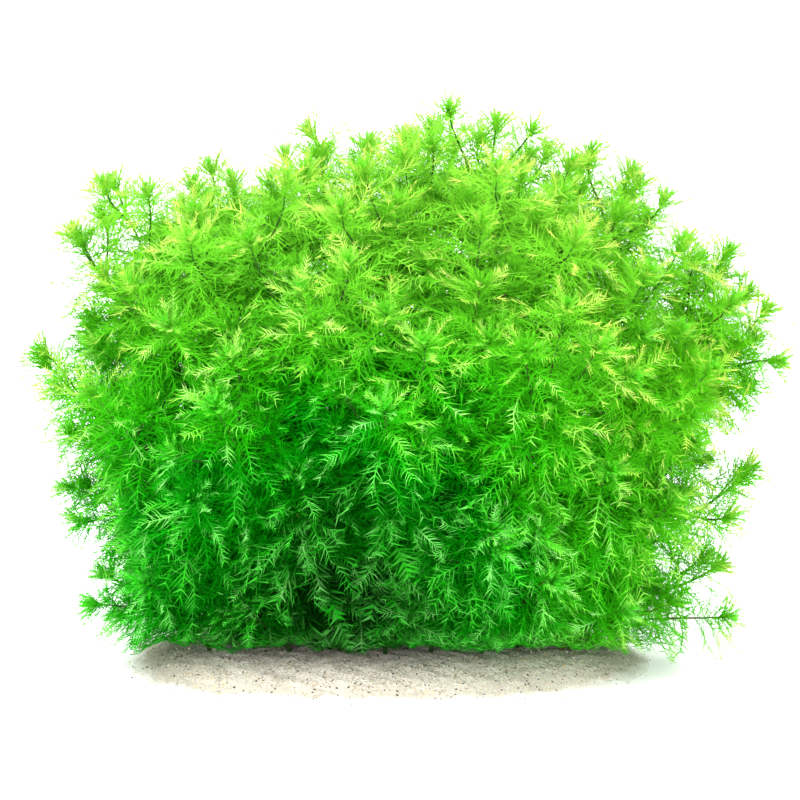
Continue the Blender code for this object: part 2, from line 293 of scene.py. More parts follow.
@dataclass(frozen=True)
class Planting:
    """Where the main shoots stand and end. Every value is the solids' own."""

    sand_half_length: float = 0.200
    sand_half_depth: float = 0.130
    sand_squareness: float = 2.5
    sand_crest: float = 0.022
    sand_rim: float = 0.005
    sand_rounding: float = 3.2
    sand_hump: float = 0.0012
    humps_per_metre: Pair = (31.0, 43.0)
    edge_waves: tuple[tuple[int, float, float], ...] = ((3, 0.018, 0.7), (5, 0.012, 2.1))
    edge_inset: float = 0.02
    collar_height: float = 0.002
    root_depth: float = 0.009
    stem_pull: float = 0.36
    roots_half_length: float = 0.150
    roots_half_depth: float = 0.055
    even_out: float = 0.08
    stray_along: float = 0.012
    stray_out: float = 0.008
    stray_up: float = 0.012
    seed: int = 23
    path_steps: int = 48
    crown_lean: float = 4.0
    crown_rise: float = 84.0
    rings: tuple[Ring, ...] = (
        Ring("skirt", 11, 0.25, 0.060, 0.215, 0.251, 0.104, 1.00, 40.0, 34.0),
        Ring("lower", 10, 0.0, 0.142, 0.228, 0.266, 0.156, 0.86, 30.0, 40.0),
        Ring("middle", 12, 0.0, 0.236, 0.255, 0.278, 0.190, 0.70, 26.0, 46.0),
        Ring("upper", 10, 0.0, 0.314, 0.226, 0.252, 0.160, 0.52, 18.0, 60.0),
        Ring("shoulder", 8, 0.0, 0.364, 0.200, 0.188, 0.100, 0.34, 12.0, 68.0),
    )
    crown: tuple[tuple[Pair, Triple], ...] = (
        ((-0.020, 0.000), (-0.048, -0.012, 0.388)),
        ((0.004, 0.008), (0.034, 0.020, 0.404)),
        ((0.026, -0.004), (0.082, -0.006, 0.410)),
    )

    def edge_share(self, angle: Array) -> Array:
        """Return how far the sand's edge reaches: a squarish oval, less an inset, plus two sine waves.

        The powers of the oval's two shares add up to one.

        Args:
            angle: Angles round the oval.

        Returns:
            Shares of the oval's half axes.
        """
        powers = np.abs(np.cos(angle)) ** self.sand_squareness + np.abs(np.sin(angle)) ** self.sand_squareness
        waves = sum(depth * np.sin(count * angle + start) for count, depth, start in self.edge_waves)
        return powers ** (-1.0 / self.sand_squareness) * (1.0 - self.edge_inset + waves)

    def sand_share(self, x: Array, y: Array) -> Array:
        """Return how far out places lie on the sand: their radius over the edge's, one at the edge."""
        angle = np.arctan2(y / self.sand_half_depth, x / self.sand_half_length)
        return np.hypot(x / self.sand_half_length, y / self.sand_half_depth) / self.edge_share(angle)

    def sand_height(self, x: Array, y: Array) -> Array:
        """Return the sand's height: a mound that falls off as a power of the radius, with cosine humps.

        Args:
            x: Places across.
            y: Places away from the viewer.

        Returns:
            Heights above the floor.
        """
        share = np.minimum(1.0, self.sand_share(x, y))
        mound = self.sand_rim + (self.sand_crest - self.sand_rim) * (1.0 - share**self.sand_rounding)
        across, away = self.humps_per_metre
        return mound + self.sand_hump * np.cos(across * x) * np.cos(away * y) * (1.0 - share)

    def ground(self, x: Array, y: Array) -> Array:
        """Return the height of what lies below a place: the sand, or zero beyond its edge."""
        return np.where(self.sand_share(x, y) < 1.0, self.sand_height(x, y), 0.0)

    def shoot(
        self, node: str, x: float, y: float, tip: Array, out: Array, lean: float, rise: float
    ) -> MainShoot:
        """Return a main shoot whose stem is a cubic curve from the sand to its tip.

        Args:
            node: The shoot's node in the frame.
            x: The root's place across.
            y: The root's place away from the viewer.
            tip: Where the stem ends.
            out: The level direction that it leans towards.
            lean: Its lean from upright at the sand, in degrees.
            rise: Its rise from level at the tip, in degrees.

        Returns:
            The main shoot.
        """
        root = np.array([x, y, float(self.sand_height(np.float64(x), np.float64(y)))])
        start = UP * math.cos(math.radians(lean)) + out * math.sin(math.radians(lean))
        end = UP * math.sin(math.radians(rise)) + out * math.cos(math.radians(rise))
        pull = self.stem_pull * float(np.linalg.norm(tip - root))
        first = root + UP * self.collar_height
        path = cubic(first, first + start * pull, tip - end * pull, tip, self.path_steps)
        return MainShoot(node, root, path, end)

    def shoots(self) -> list[MainShoot]:
        """Return every main shoot, ring by ring, each tip strayed from its ring by seeded amounts.

        Returns:
            The shoots, from the skirt up to the crown.
        """
        rng = random.Random(self.seed)
        made = []
        for ring in self.rings:
            for number in range(ring.count):
                turn = TURN * (number + ring.first) / ring.count
                angle = turn + self.even_out * math.sin(2.0 * turn)
                across, away = math.cos(angle), math.sin(angle)
                out = np.array([across, away, 0.0])
                along = np.array([-away, across, 0.0])
                reach = ring.right if across > 0.0 else ring.left
                tip = np.array([across * reach, away * ring.depth, ring.height])
                for way, stray in ((along, self.stray_along), (out, self.stray_out), (UP, self.stray_up)):
                    tip = tip + way * rng.uniform(-stray, stray)
                x = across * self.roots_half_length * ring.root_share
                y = away * self.roots_half_depth * ring.root_share
                node = f"{ring.name}_shoot_{number + 1:02d}"
                made.append(self.shoot(node, x, y, tip, out, ring.lean_low, ring.rise_high))
        for number, ((x, y), place) in enumerate(self.crown):
            out = unit(np.array([place[0] - x, place[1] - y, 0.0]))
            node = f"crown_shoot_{number + 1:02d}"
            made.append(self.shoot(node, x, y, np.array(place), out, self.crown_lean, self.crown_rise))
        return made


@dataclass(frozen=True)
class Outline:
    """The rounded surface that the side shoots' tips lie on: its reach by height, as in the photograph."""

    heights: tuple[float, ...] = (
        0.030, 0.055, 0.090, 0.142, 0.200, 0.245, 0.280, 0.312, 0.340, 0.364, 0.384, 0.398
    )
    left: tuple[float, ...] = (
        -0.184, -0.198, -0.200, -0.211, -0.211, -0.206, -0.202, -0.192, -0.168, -0.112, -0.044, -0.010
    )
    right: tuple[float, ...] = (
        0.190, 0.206, 0.197, 0.226, 0.232, 0.250, 0.236, 0.190, 0.144, 0.116, 0.096, 0.076
    )
    depth: tuple[float, ...] = (
        0.082, 0.102, 0.126, 0.150, 0.166, 0.168, 0.154, 0.130, 0.098, 0.064, 0.036, 0.010
    )
    roof_from: float = 0.142
    roof_levels: int = 16
    squareness: float = 2.3
    nudge: float = 0.0005
    largest_lack: float = 0.004
    longest_step: float = 0.02

    def share(self, points: Array) -> Array:
        """Return how far out points lie: the squareness root of the summed powers of their two shares.

        Args:
            points: Places, (..., 3).

        Returns:
            Less than one inside, one on the surface.
        """
        sides = (self.left, self.right, self.depth)
        left, right, depth = (np.interp(points[..., 2], self.heights, side) for side in sides)
        across = np.abs(points[..., 0] - (left + right) / 2.0) / ((right - left) / 2.0)
        away = np.abs(points[..., 1]) / depth
        return (across**self.squareness + away**self.squareness) ** (1.0 / self.squareness)

    def buried(self, points: Array) -> Array:
        """Return how far points lie inside: the lesser of the way out sideways and the way up.

        The way out is what lacks of the share times the half depth there. The way up runs to the highest
        of a row of levels at which the place still lies inside.

        Args:
            points: Places, (n, 3).

        Returns:
            Metres inside the surface, below zero outside.
        """
        aside = (1.0 - self.share(points)) * np.interp(points[:, 2], self.heights, self.depth)
        roof = np.full(len(points), self.heights[0])
        for level in np.linspace(self.roof_from, self.heights[-1], self.roof_levels):
            here = np.concatenate([points[:, :2], np.full((len(points), 1), level)], axis=1)
            roof = np.where(self.share(here) <= 1.0, level, roof)
        return np.minimum(aside, roof - points[:, 2])

    def slope(self, points: Array) -> Array:
        """Return the gradient of the share, from differences over a small nudge along each axis.

        Args:
            points: Places, (n, 3).

        Returns:
            The gradients, (n, 3).
        """
        steps = np.eye(3) * self.nudge
        rise = [self.share(points + step) - self.share(points - step) for step in steps]
        return np.stack(rise, axis=-1) / (2.0 * self.nudge)

    def settle(self, points: Array) -> Array:
        """Move points towards the surface: each by its lack of share over the slope, along the slope.

        Args:
            points: Places, (n, 3).

        Returns:
            The moved places.
        """
        slope = self.slope(points)
        lack = (self.share(points) - 1.0) / np.maximum((slope**2).sum(axis=-1), 1.0)
        step = np.clip(lack, -self.largest_lack, self.largest_lack)[..., None] * slope
        length = np.linalg.norm(step, axis=-1, keepdims=True)
        return points - step * np.minimum(1.0, self.longest_step / np.maximum(length, 1e-9))


@dataclass(frozen=True)
class SideTips:
    """The places and headings of the side shoots' tips, spread evenly between the main ones.

    The placed ones, across and up, are shoots that stand out of the bush in the photograph.
    """

    placed: tuple[Pair, ...] = (
        (-0.055, 0.404), (-0.012, 0.392), (0.012, 0.388), (0.047, 0.422), (0.108, 0.406), (0.136, 0.382),
        (0.152, 0.388), (0.190, 0.362), (0.206, 0.354), (0.230, 0.308), (0.250, 0.296), (0.270, 0.282),
        (0.284, 0.270), (0.290, 0.236), (0.268, 0.214), (0.274, 0.148), (0.256, 0.120), (0.240, 0.084),
        (0.254, 0.046), (-0.206, 0.366), (-0.174, 0.364), (-0.142, 0.364), (-0.112, 0.370), (-0.232, 0.328),
        (-0.210, 0.340), (-0.256, 0.240), (-0.240, 0.222), (-0.234, 0.180), (-0.238, 0.136), (-0.230, 0.110),
        (-0.218, 0.054), (-0.200, 0.040), (0.240, 0.262), (0.258, 0.246), (0.250, 0.205), (0.236, 0.160),
    )
    placed_spread: float = 0.022
    count: int = 314
    first_oval: Pair = (0.2, 0.15)
    wanted_gap: float = 0.052
    push: float = 0.35
    rounds: int = 90
    settlings: int = 3
    outward_rise: float = 0.5
    reach_power: float = 1.7
    deepest: float = 0.020
    furthest: float = 0.050
    tight_until: float = 0.10
    loosens_over: float = 0.20
    tightest: float = 0.35
    stray: float = 0.004
    lowest: float = 0.052
    highest: float = 0.396
    limits_low: Triple = (-0.250, -0.190, 0.050)
    limits_high: Triple = (0.274, 0.190, 0.412)
    roof: tuple[Pair, ...] = (
        (-0.250, 0.318), (-0.210, 0.350), (-0.110, 0.356), (-0.055, 0.388), (0.000, 0.384), (0.047, 0.404),
        (0.108, 0.392), (0.152, 0.372), (0.206, 0.338), (0.270, 0.268),
    )
    main_pull: float = 0.45
    outward_pull: float = 0.7
    upward_pull: float = 0.25
    heading_stray: float = 0.16
    seed: int = 7

    def spread(self, outline: Outline, mains: Array) -> Array:
        """Let the tips push each other apart on the outline, with the main tips held still.

        Each pair closer than the wanted gap moves apart by a share of what is missing, and then every
        tip settles back on the surface. At the end each goes a little way in or, more loosely further
        up, out, by a power of a random number, but not above the roof, a line of heights across.

        Args:
            outline: The surface that the tips lie on.
            mains: The main shoots' tips.

        Returns:
            The side tips, the placed ones last, (count + placed, 3).
        """
        rng = np.random.default_rng(self.seed)
        places = np.array(self.placed)
        away = rng.normal(0.0, self.placed_spread, len(places))
        standing = np.stack([places[:, 0], away, places[:, 1]], axis=1)
        angle = rng.uniform(0.0, TURN, self.count)
        height = rng.uniform(self.lowest, self.highest, self.count)
        half_length, half_depth = self.first_oval
        tips = np.stack([half_length * np.cos(angle), half_depth * np.sin(angle), height], axis=1)
        for _ in range(self.rounds):
            every = np.concatenate([mains, standing, tips])
            apart = tips[:, None] - every[None]
            gap = np.linalg.norm(apart, axis=2)
            gap = np.where(gap < 1e-6, 1.0, gap)
            missing = np.maximum(0.0, self.wanted_gap - gap)
            tips = tips + (apart / gap[..., None] * (self.push * missing)[..., None]).sum(axis=1)
            for _ in range(self.settlings):
                tips = outline.settle(tips)
            tips[:, 2] = np.clip(tips[:, 2], self.lowest, self.highest)
        outward = unit(unit(outline.slope(tips)) + self.outward_rise * UP)
        reach = rng.uniform(0.0, 1.0, self.count) ** self.reach_power
        loose = np.clip((tips[:, 2] - self.tight_until) / self.loosens_over, self.tightest, 1.0)
        out = -self.deepest + (self.deepest + self.furthest * loose) * reach
        tips = tips + outward * out[:, None] + rng.normal(0.0, self.stray, tips.shape)
        tips[:, 2] = np.minimum(tips[:, 2], np.interp(tips[:, 0], *np.transpose(self.roof)))
        return np.concatenate([np.clip(tips, self.limits_low, self.limits_high), standing])

    def headings(self, outline: Outline, tips: Array, ends: Array) -> Array:
        """Return the directions at the tips: partly the main shoot's, partly out of the bush and up.

        Args:
            outline: The surface that the tips lie on.
            tips: The side tips.
            ends: For each, the direction at its main shoot's tip.

        Returns:
            Unit directions, (n, 3).
        """
        rng = np.random.default_rng(self.seed + 1)
        outward = unit(outline.slope(tips))
        heading = self.main_pull * ends + self.outward_pull * outward + self.upward_pull * UP
        return unit(heading + rng.normal(0.0, self.heading_stray, tips.shape))


@dataclass(frozen=True)
class Canopy:
    """How far the outermost leaves reach in each direction from the bush's middle, for painted shade."""

    middle: Triple = (0.010, 0.0, 0.110)
    fineness: int = 22
    cell_steps: tuple[int, int, int] = (1, 100, 10000)
    free: float = 0.004
    dark_over: float = 0.014

    def below(self, points: Array) -> Array:
        """Return how far each point lies below the outermost one that is seen in its direction.

        Directions are sorted into cells by rounding the unit vector times the fineness, and the farthest
        distance of a cell less the point's own is its depth, which is painted as shade: from zero when
        free to one when dark.

        Args:
            points: Every point of the bush, (n, 3).

        Returns:
            The depths, from 0 to 1.
        """
        away = points - np.array(self.middle)
        distance = np.linalg.norm(away, axis=1)
        parts = np.rint(away / np.maximum(distance, 1e-6)[:, None] * self.fineness).astype(np.int64)
        _, cell = np.unique((parts + self.fineness) @ np.array(self.cell_steps), return_inverse=True)
        farthest = np.zeros(cell.max() + 1)
        np.maximum.at(farthest, cell, distance)
        return np.clip((farthest[cell] - distance - self.free) / self.dark_over, 0.0, 1.0)


@dataclass(frozen=True)
class LeafStand:
    """Where a batch of leaves is attached and how each is held. Every field has one row for a leaf."""

    base: Array
    out: Array
    ahead: Array
    length: Array
    rise: Array
    fall: Array
    sway: Array
    roll: Array
    age: Array
    tone: Array

    def pick(self, chosen: Array) -> "LeafStand":
        """Return the batch of only the chosen leaves."""
        return LeafStand(**{name: rows[chosen] for name, rows in vars(self).items()})


@dataclass(frozen=True)
class Midribs:
    """The midribs of a batch: points along them, (leaves, n, 3), the headings there, and the sides."""

    points: Array
    heads: Array
    side: Array


@dataclass(frozen=True)
class LeafShape:
    """A pinnate leaf: a thin tapering rachis that bends over, with a comb of pinnae along both sides.

    Its spread and lift are in degrees, and its twist, wildness and lift_stray in radians.
    """

    pairs: int
    rachis_width: float
    pinna_share: float
    pinna_width: float
    spread: Pair
    lift: float
    twist: float
    wildness: float = 0.08
    form: PinnaForm = PinnaForm.SLIVER
    bend: float = 0.45
    segments: int = 3
    droop_power: float = 1.3
    rachis_taper: float = 0.6
    comb_from: float = 0.06
    comb_over: float = 0.92
    lift_stray: float = 0.26
    profile_power: float = 0.6
    lengths: Pair = (0.62, 1.20)
    elbow: float = 0.5
    elbow_width: float = 0.9
    past_elbow: float = 0.55

    def midribs(self, stand: LeafStand) -> Midribs:
        """Bend the batch's midribs from their rise at the base to rise less fall at the tip.

        The heading's angle above the outward direction falls as a power of the share of length, and
        the points are the running sum of equal steps along it, pushed sideways by sway times share.

        Args:
            stand: The batch of leaves.

        Returns:
            Its midribs.
        """
        side = unit(np.cross(stand.ahead, stand.out))
        side = unit(side + np.cross(side, stand.out) * stand.roll[:, None])
        share = (np.arange(self.segments) + 0.5) / self.segments
        angle = stand.rise[:, None] - stand.fall[:, None] * share**self.droop_power
        step = (
            stand.out[:, None] * np.cos(angle)[..., None]
            + stand.ahead[:, None] * np.sin(angle)[..., None]
            + side[:, None] * (stand.sway[:, None] * share)[..., None]
        )
        step = unit(step) * (stand.length / self.segments)[:, None, None]
        start = np.zeros((len(step), 1, 3))
        points = stand.base[:, None] + np.concatenate([start, np.cumsum(step, axis=1)], axis=1)
        heads = np.concatenate([step[:, :1], (step[:, :-1] + step[:, 1:]) / 2.0, step[:, -1:]], axis=1)
        return Midribs(points, unit(heads), side)

    def rachis(self, soup: Soup, stand: LeafStand, ribs: Midribs) -> None:
        """Add the midribs as slim ribbons: two edges half a width aside, narrowing to a point at the tip.

        Args:
            soup: The piece's triangles.
            stand: The batch of leaves.
            ribs: Its midribs.
        """
        leaves = len(ribs.points)
        share = np.arange(self.segments) / self.segments
        half = 0.5 * self.rachis_width * (1.0 - self.rachis_taper * share)
        offset = ribs.side[:, None] * half[None, :, None]
        middle = ribs.points[:, : self.segments]
        edges = np.stack([middle - offset, middle + offset], axis=2)
        block = np.concatenate([edges.reshape(leaves, -1, 3), ribs.points[:, -1:]], axis=1)
        per_leaf = 2 * self.segments + 1
        step = 2 * np.arange(self.segments - 1)[:, None]
        quads = np.concatenate([step + np.array([0, 1, 3]), step + np.array([0, 3, 2])])
        faces = np.concatenate([quads, [[per_leaf - 3, per_leaf - 2, per_leaf - 1]]])
        faces = faces[None] + (np.arange(leaves) * per_leaf)[:, None, None]
        age, tone = np.repeat(stand.age, per_leaf), np.repeat(stand.tone, per_leaf)
        soup.add(block, faces, Slot.LEAF.value, age=age, tone=tone)

    def pinnae(self, soup: Soup, stand: LeafStand, ribs: Midribs, rng: Rng) -> None:
        """Add the combs: slim pinnae in pairs along the midrib.

        A pinna's length follows half a constant and half a half sine of a power of the share of length,
        so the longest are below the middle. It leaves the midrib at an angle that closes towards the
        tip, lifted a little out of the leaf's plane, and its base edge is turned by a random twist.
        A bent one turns at its elbow towards the leaf's tip: a share of the midrib's heading is added
        to its own. Each has a tone half the leaf's and half random.

        Args:
            soup: The piece's triangles.
            stand: The batch of leaves.
            ribs: Its midribs.
            rng: The random source.
        """
        share = self.comb_from + self.comb_over * (np.arange(self.pairs) + 0.5) / self.pairs
        place = share * self.segments
        node = np.minimum(place.astype(int), self.segments - 1)
        rest = (place - node)[None, :, None]
        foot = ribs.points[:, node] * (1.0 - rest) + ribs.points[:, node + 1] * rest
        head = unit(ribs.heads[:, node] * (1.0 - rest) + ribs.heads[:, node + 1] * rest)
        normal = np.cross(head, ribs.side[:, None])
        hand = np.array([-1.0, 1.0])
        shape = (len(foot), self.pairs, 2)
        spread = np.radians(between(self.spread, share))[None, :, None]
        spread = spread + rng.normal(0.0, self.wildness, shape)
        lift = math.radians(self.lift) + rng.normal(0.0, self.lift_stray, shape)
        outward = (
            ribs.side[:, None, None] * (hand * np.cos(lift))[..., None]
            + normal[:, :, None] * np.sin(lift)[..., None]
        )
        heading = head[:, :, None] * np.cos(spread)[..., None] + outward * np.sin(spread)[..., None]
        longest = self.pinna_share * stand.length
        profile = 0.5 + 0.5 * np.sin(math.pi * share**self.profile_power)
        length = longest[:, None, None] * profile[None, :, None] * rng.uniform(*self.lengths, shape)
        turn = rng.normal(0.0, self.twist, shape)
        edge = head[:, :, None] * np.cos(turn)[..., None] + normal[:, :, None] * np.sin(turn)[..., None]
        half = 0.5 * self.pinna_width
        start = foot[:, :, None]
        corners = [start - edge * half, start + edge * half]
        if self.form is PinnaForm.BENT:
            middle = start + heading * (self.elbow * length)[..., None]
            onward = unit(heading + head[:, :, None] * self.bend)
            narrow = edge * (self.elbow_width * half)
            corners += [middle + narrow, middle - narrow]
            corners += [middle + onward * (self.past_elbow * length)[..., None]]
            pattern = np.array([[0, 1, 2], [0, 2, 3], [3, 2, 4]])
        else:
            corners += [start + heading * length[..., None]]
            pattern = np.array([[0, 1, 2]])
        tone = 0.5 * stand.tone[:, None, None] + rng.uniform(0.0, 0.5, shape)
        faces = (len(corners) * np.arange(tone.size))[:, None, None] + pattern
        age = np.repeat(stand.age, self.pairs * 2 * len(corners))
        tone = np.repeat(tone.reshape(-1), len(corners))
        soup.add(np.stack(corners, axis=3), faces, Slot.LEAF.value, age=age, tone=tone)

    def grow(self, soup: Soup, stand: LeafStand, rng: Rng) -> None:
        """Add a whole batch of leaves: rachis and combs.

        Args:
            soup: The piece's triangles.
            stand: The batch of leaves.
            rng: The random source.
        """
        ribs = self.midribs(stand)
        self.rachis(soup, stand, ribs)
        self.pinnae(soup, stand, ribs, rng)


OPEN_LEAF = LeafShape(
    pairs=17, rachis_width=0.0011, pinna_share=0.36, pinna_width=0.00074, spread=(56.0, 34.0),
    lift=8.0, twist=0.25, wildness=0.26, form=PinnaForm.BENT,
)
COLLAR_LEAF = LeafShape(
    pairs=12, rachis_width=0.0010, pinna_share=0.28, pinna_width=0.0012, spread=(52.0, 36.0),
    lift=10.0, twist=0.4,
)
WIRY_LEAF = LeafShape(
    pairs=11, rachis_width=0.0015, pinna_share=0.34, pinna_width=0.0014, spread=(50.0, 36.0),
    lift=10.0, twist=0.3, wildness=0.26,
)
OLD_LEAF = LeafShape(
    pairs=11, rachis_width=0.0014, pinna_share=0.30, pinna_width=0.0034, spread=(60.0, 45.0),
    lift=8.0, twist=0.5,
)
YOUNG_LEAF = LeafShape(
    pairs=7, rachis_width=0.0011, pinna_share=0.32, pinna_width=0.0016, spread=(40.0, 24.0),
    lift=16.0, twist=0.9, segments=2,
)


@dataclass(frozen=True)
class Hold:
    """How unevenly leaves of one age are held: a range of length, the noise of the others, the top tone.

    The noise of rise and fall is in degrees.
    """

    lengths: Pair
    rise: float
    fall: float
    sway: float
    roll: float
    palest: float = 1.0

    def leaves(
        self, path: Array, below: Array, turn: Array, length: Values, rise: Values, fall: Values, age: Values,
        rng: Rng,
    ) -> LeafStand:
        """Return leaves attached to a stem. A fall without noise draws no random numbers.

        Args:
            path: The stem, its tip last.
            below: The leaves' distances back from the tip.
            turn: Their angles about the stem.
            length: Their length before it is varied.
            rise: Their rise in degrees, likewise.
            fall: Their fall in degrees, likewise.
            age: Their age, from 0 to 1.
            rng: The random source.

        Returns:
            The batch of leaves.
        """
        count = len(below)
        base, ahead = along_path(path, below)
        side, other = square_to(ahead, LEAF_HELPER)
        return LeafStand(
            base=base,
            out=side * np.cos(turn)[:, None] + other * np.sin(turn)[:, None],
            ahead=ahead,
            length=length * rng.uniform(*self.lengths, count),
            rise=np.radians(rise + rng.normal(0.0, self.rise, count)),
            fall=np.radians(fall + rng.normal(0.0, self.fall, count) if self.fall else fall),
            sway=rng.normal(0.0, self.sway, count),
            roll=rng.normal(0.0, self.roll, count),
            age=np.broadcast_to(age, (count,)),
            tone=rng.uniform(0.0, self.palest, count),
        )


@dataclass(frozen=True)
class Whorl:
    """One whorl of open leaves: how far below the tip it is, and its leaves' number, size and rise."""

    below: float
    leaves: int
    length: float
    rise: float
    shape: LeafShape


@dataclass(frozen=True)
class TipGrowth:
    """What grows along a tip: whorls of open leaves, old ones further down, and a tuft at the end."""

    whorls: tuple[Whorl, ...] = (
        Whorl(0.0070, 5, 0.027, 60.0, COLLAR_LEAF),
        Whorl(0.0115, 5, 0.034, 44.0, COLLAR_LEAF),
        Whorl(0.0175, 5, 0.040, 27.0, OPEN_LEAF),
        Whorl(0.0255, 4, 0.045, 13.0, OPEN_LEAF),
        Whorl(0.0350, 4, 0.048, 4.0, WIRY_LEAF),
        Whorl(0.0455, 4, 0.048, -3.0, WIRY_LEAF),
    )
    open_hold: Hold = Hold((0.86, 1.10), 11.0, 14.0, 0.30, 0.50)
    open_turn_noise: float = 0.16
    open_place_noise: float = 0.0008
    open_fall: float = 24.0
    open_age: float = 0.25
    age_span: float = 0.070
    tuft_hold: Hold = Hold((0.88, 1.12), 5.0, 0.0, 0.12, 0.3)
    tuft_leaves: int = 18
    tuft_depth: float = 0.006
    tuft_lengths: Pair = (0.009, 0.021)
    tuft_length_power: float = 0.7
    tuft_rises: Pair = (86.0, 44.0)
    tuft_falls: Pair = (6.0, 20.0)
    tuft_age: float = 0.22
    old_hold: Hold = Hold((0.85, 1.1), 14.0, 14.0, 0.25, 0.5, 0.5)
    old_turn_noise: float = 0.25
    old_place_noise: float = 0.002
    old_step: float = 0.0115
    old_bare: float = 0.010
    old_around: int = 6
    old_length: float = 0.052
    old_rise: float = 8.0
    old_fall: float = 30.0

    def open_leaves(self, whorl: Whorl, turn: float, path: Array, rng: Rng) -> LeafStand:
        """Return the open leaves of one whorl, evenly round the stem with small irregularities.

        Args:
            whorl: The whorl.
            turn: Its turn about the stem.
            path: The stem, its tip last.
            rng: The random source.

        Returns:
            The batch of leaves.
        """
        count = whorl.leaves
        turns = turn + all_round(count) + rng.normal(0.0, self.open_turn_noise, count)
        below = whorl.below + rng.normal(0.0, self.open_place_noise, count)
        age = np.clip(self.open_age + below / self.age_span, 0.0, 1.0)
        return self.open_hold.leaves(path, below, turns, whorl.length, whorl.rise, self.open_fall, age, rng)

    def young_leaves(self, path: Array, rng: Rng) -> LeafStand:
        """Return the tuft: a golden-angle spiral of small leaves, upright inside and spreading outside.

        Args:
            path: The stem, its tip last.
            rng: The random source.

        Returns:
            The batch of leaves.
        """
        order = np.arange(self.tuft_leaves)
        share = (order + 0.5) / self.tuft_leaves
        turn = order * GOLDEN_ANGLE + rng.uniform(0.0, TURN)
        length = between(self.tuft_lengths, share**self.tuft_length_power)
        rise, fall = between(self.tuft_rises, share), between(self.tuft_falls, share)
        below, age = self.tuft_depth * share, self.tuft_age * share
        return self.tuft_hold.leaves(path, below, turn, length, rise, fall, age, rng)

    def old_leaves(self, path: Array, rng: Rng) -> LeafStand | None:
        """Return the old leaves inside the bush: loose whorls down the stem, level or hanging a little.

        Args:
            path: The stem, its tip last.
            rng: The random source.

        Returns:
            The batch of leaves, or None on a stem too short for any.
        """
        first = self.whorls[-1].below + self.old_step
        below = np.arange(first, path_length(path) - self.old_bare, self.old_step)
        if not len(below):
            return None
        turn = np.arange(len(below))[:, None] * GOLDEN_ANGLE + all_round(self.old_around)
        turn = (turn + rng.normal(0.0, self.old_turn_noise, turn.shape)).ravel()
        below = np.repeat(below, self.old_around) + rng.normal(0.0, self.old_place_noise, len(turn))
        length, rise, fall = self.old_length, self.old_rise, self.old_fall
        return self.old_hold.leaves(path, below, turn, length, rise, fall, 1.0, rng)


@dataclass(frozen=True)
class StemShape:
    """A stem: a round tube that tapers evenly from its foot to its tip."""

    radii: Pair
    sides: int
    stations: int

    def grow(self, soup: Soup, path: Array, redness: float) -> None:
        """Add the tube along a path: circles of a radius that falls in a straight line, closed at both ends.

        Args:
            soup: The piece's triangles.
            path: The stem, its tip last.
            redness: How reddish the stem is, from 0 to 1.
        """
        share = np.linspace(0.0, 1.0, self.stations)
        centre, ahead = along_path(path, path_length(path) * (1.0 - share))
        side, other = square_to(ahead, STEM_HELPER)
        angle = all_round(self.sides)
        rings = centre[:, None] + between(self.radii, share)[:, None, None] * (
            side[:, None] * np.cos(angle)[None, :, None] + other[:, None] * np.sin(angle)[None, :, None]
        )
        fan = np.arange(1, self.sides - 1)
        zero = np.zeros_like(fan)
        foot_cap = np.stack([zero, fan + 1, fan], axis=-1)
        tip_cap = np.stack([zero, fan, fan + 1], axis=-1) + (self.stations - 1) * self.sides
        faces = np.concatenate([*ring_faces(self.stations, self.sides), foot_cap, tip_cap])
        soup.add(rings, faces, Slot.STEM.value, age=np.repeat(1.0 - share, self.sides), tone=redness)


MAIN_STEM = StemShape(radii=(0.0018, 0.0008), sides=6, stations=22)
SIDE_STEM = StemShape(radii=(0.0010, 0.0006), sides=5, stations=7)


@dataclass(frozen=True)
class Coat:
    """A colour laid over others: the values at which it sets in and is whole, and the most of it."""

    colour: Triple
    span: Pair
    most: float = 1.0


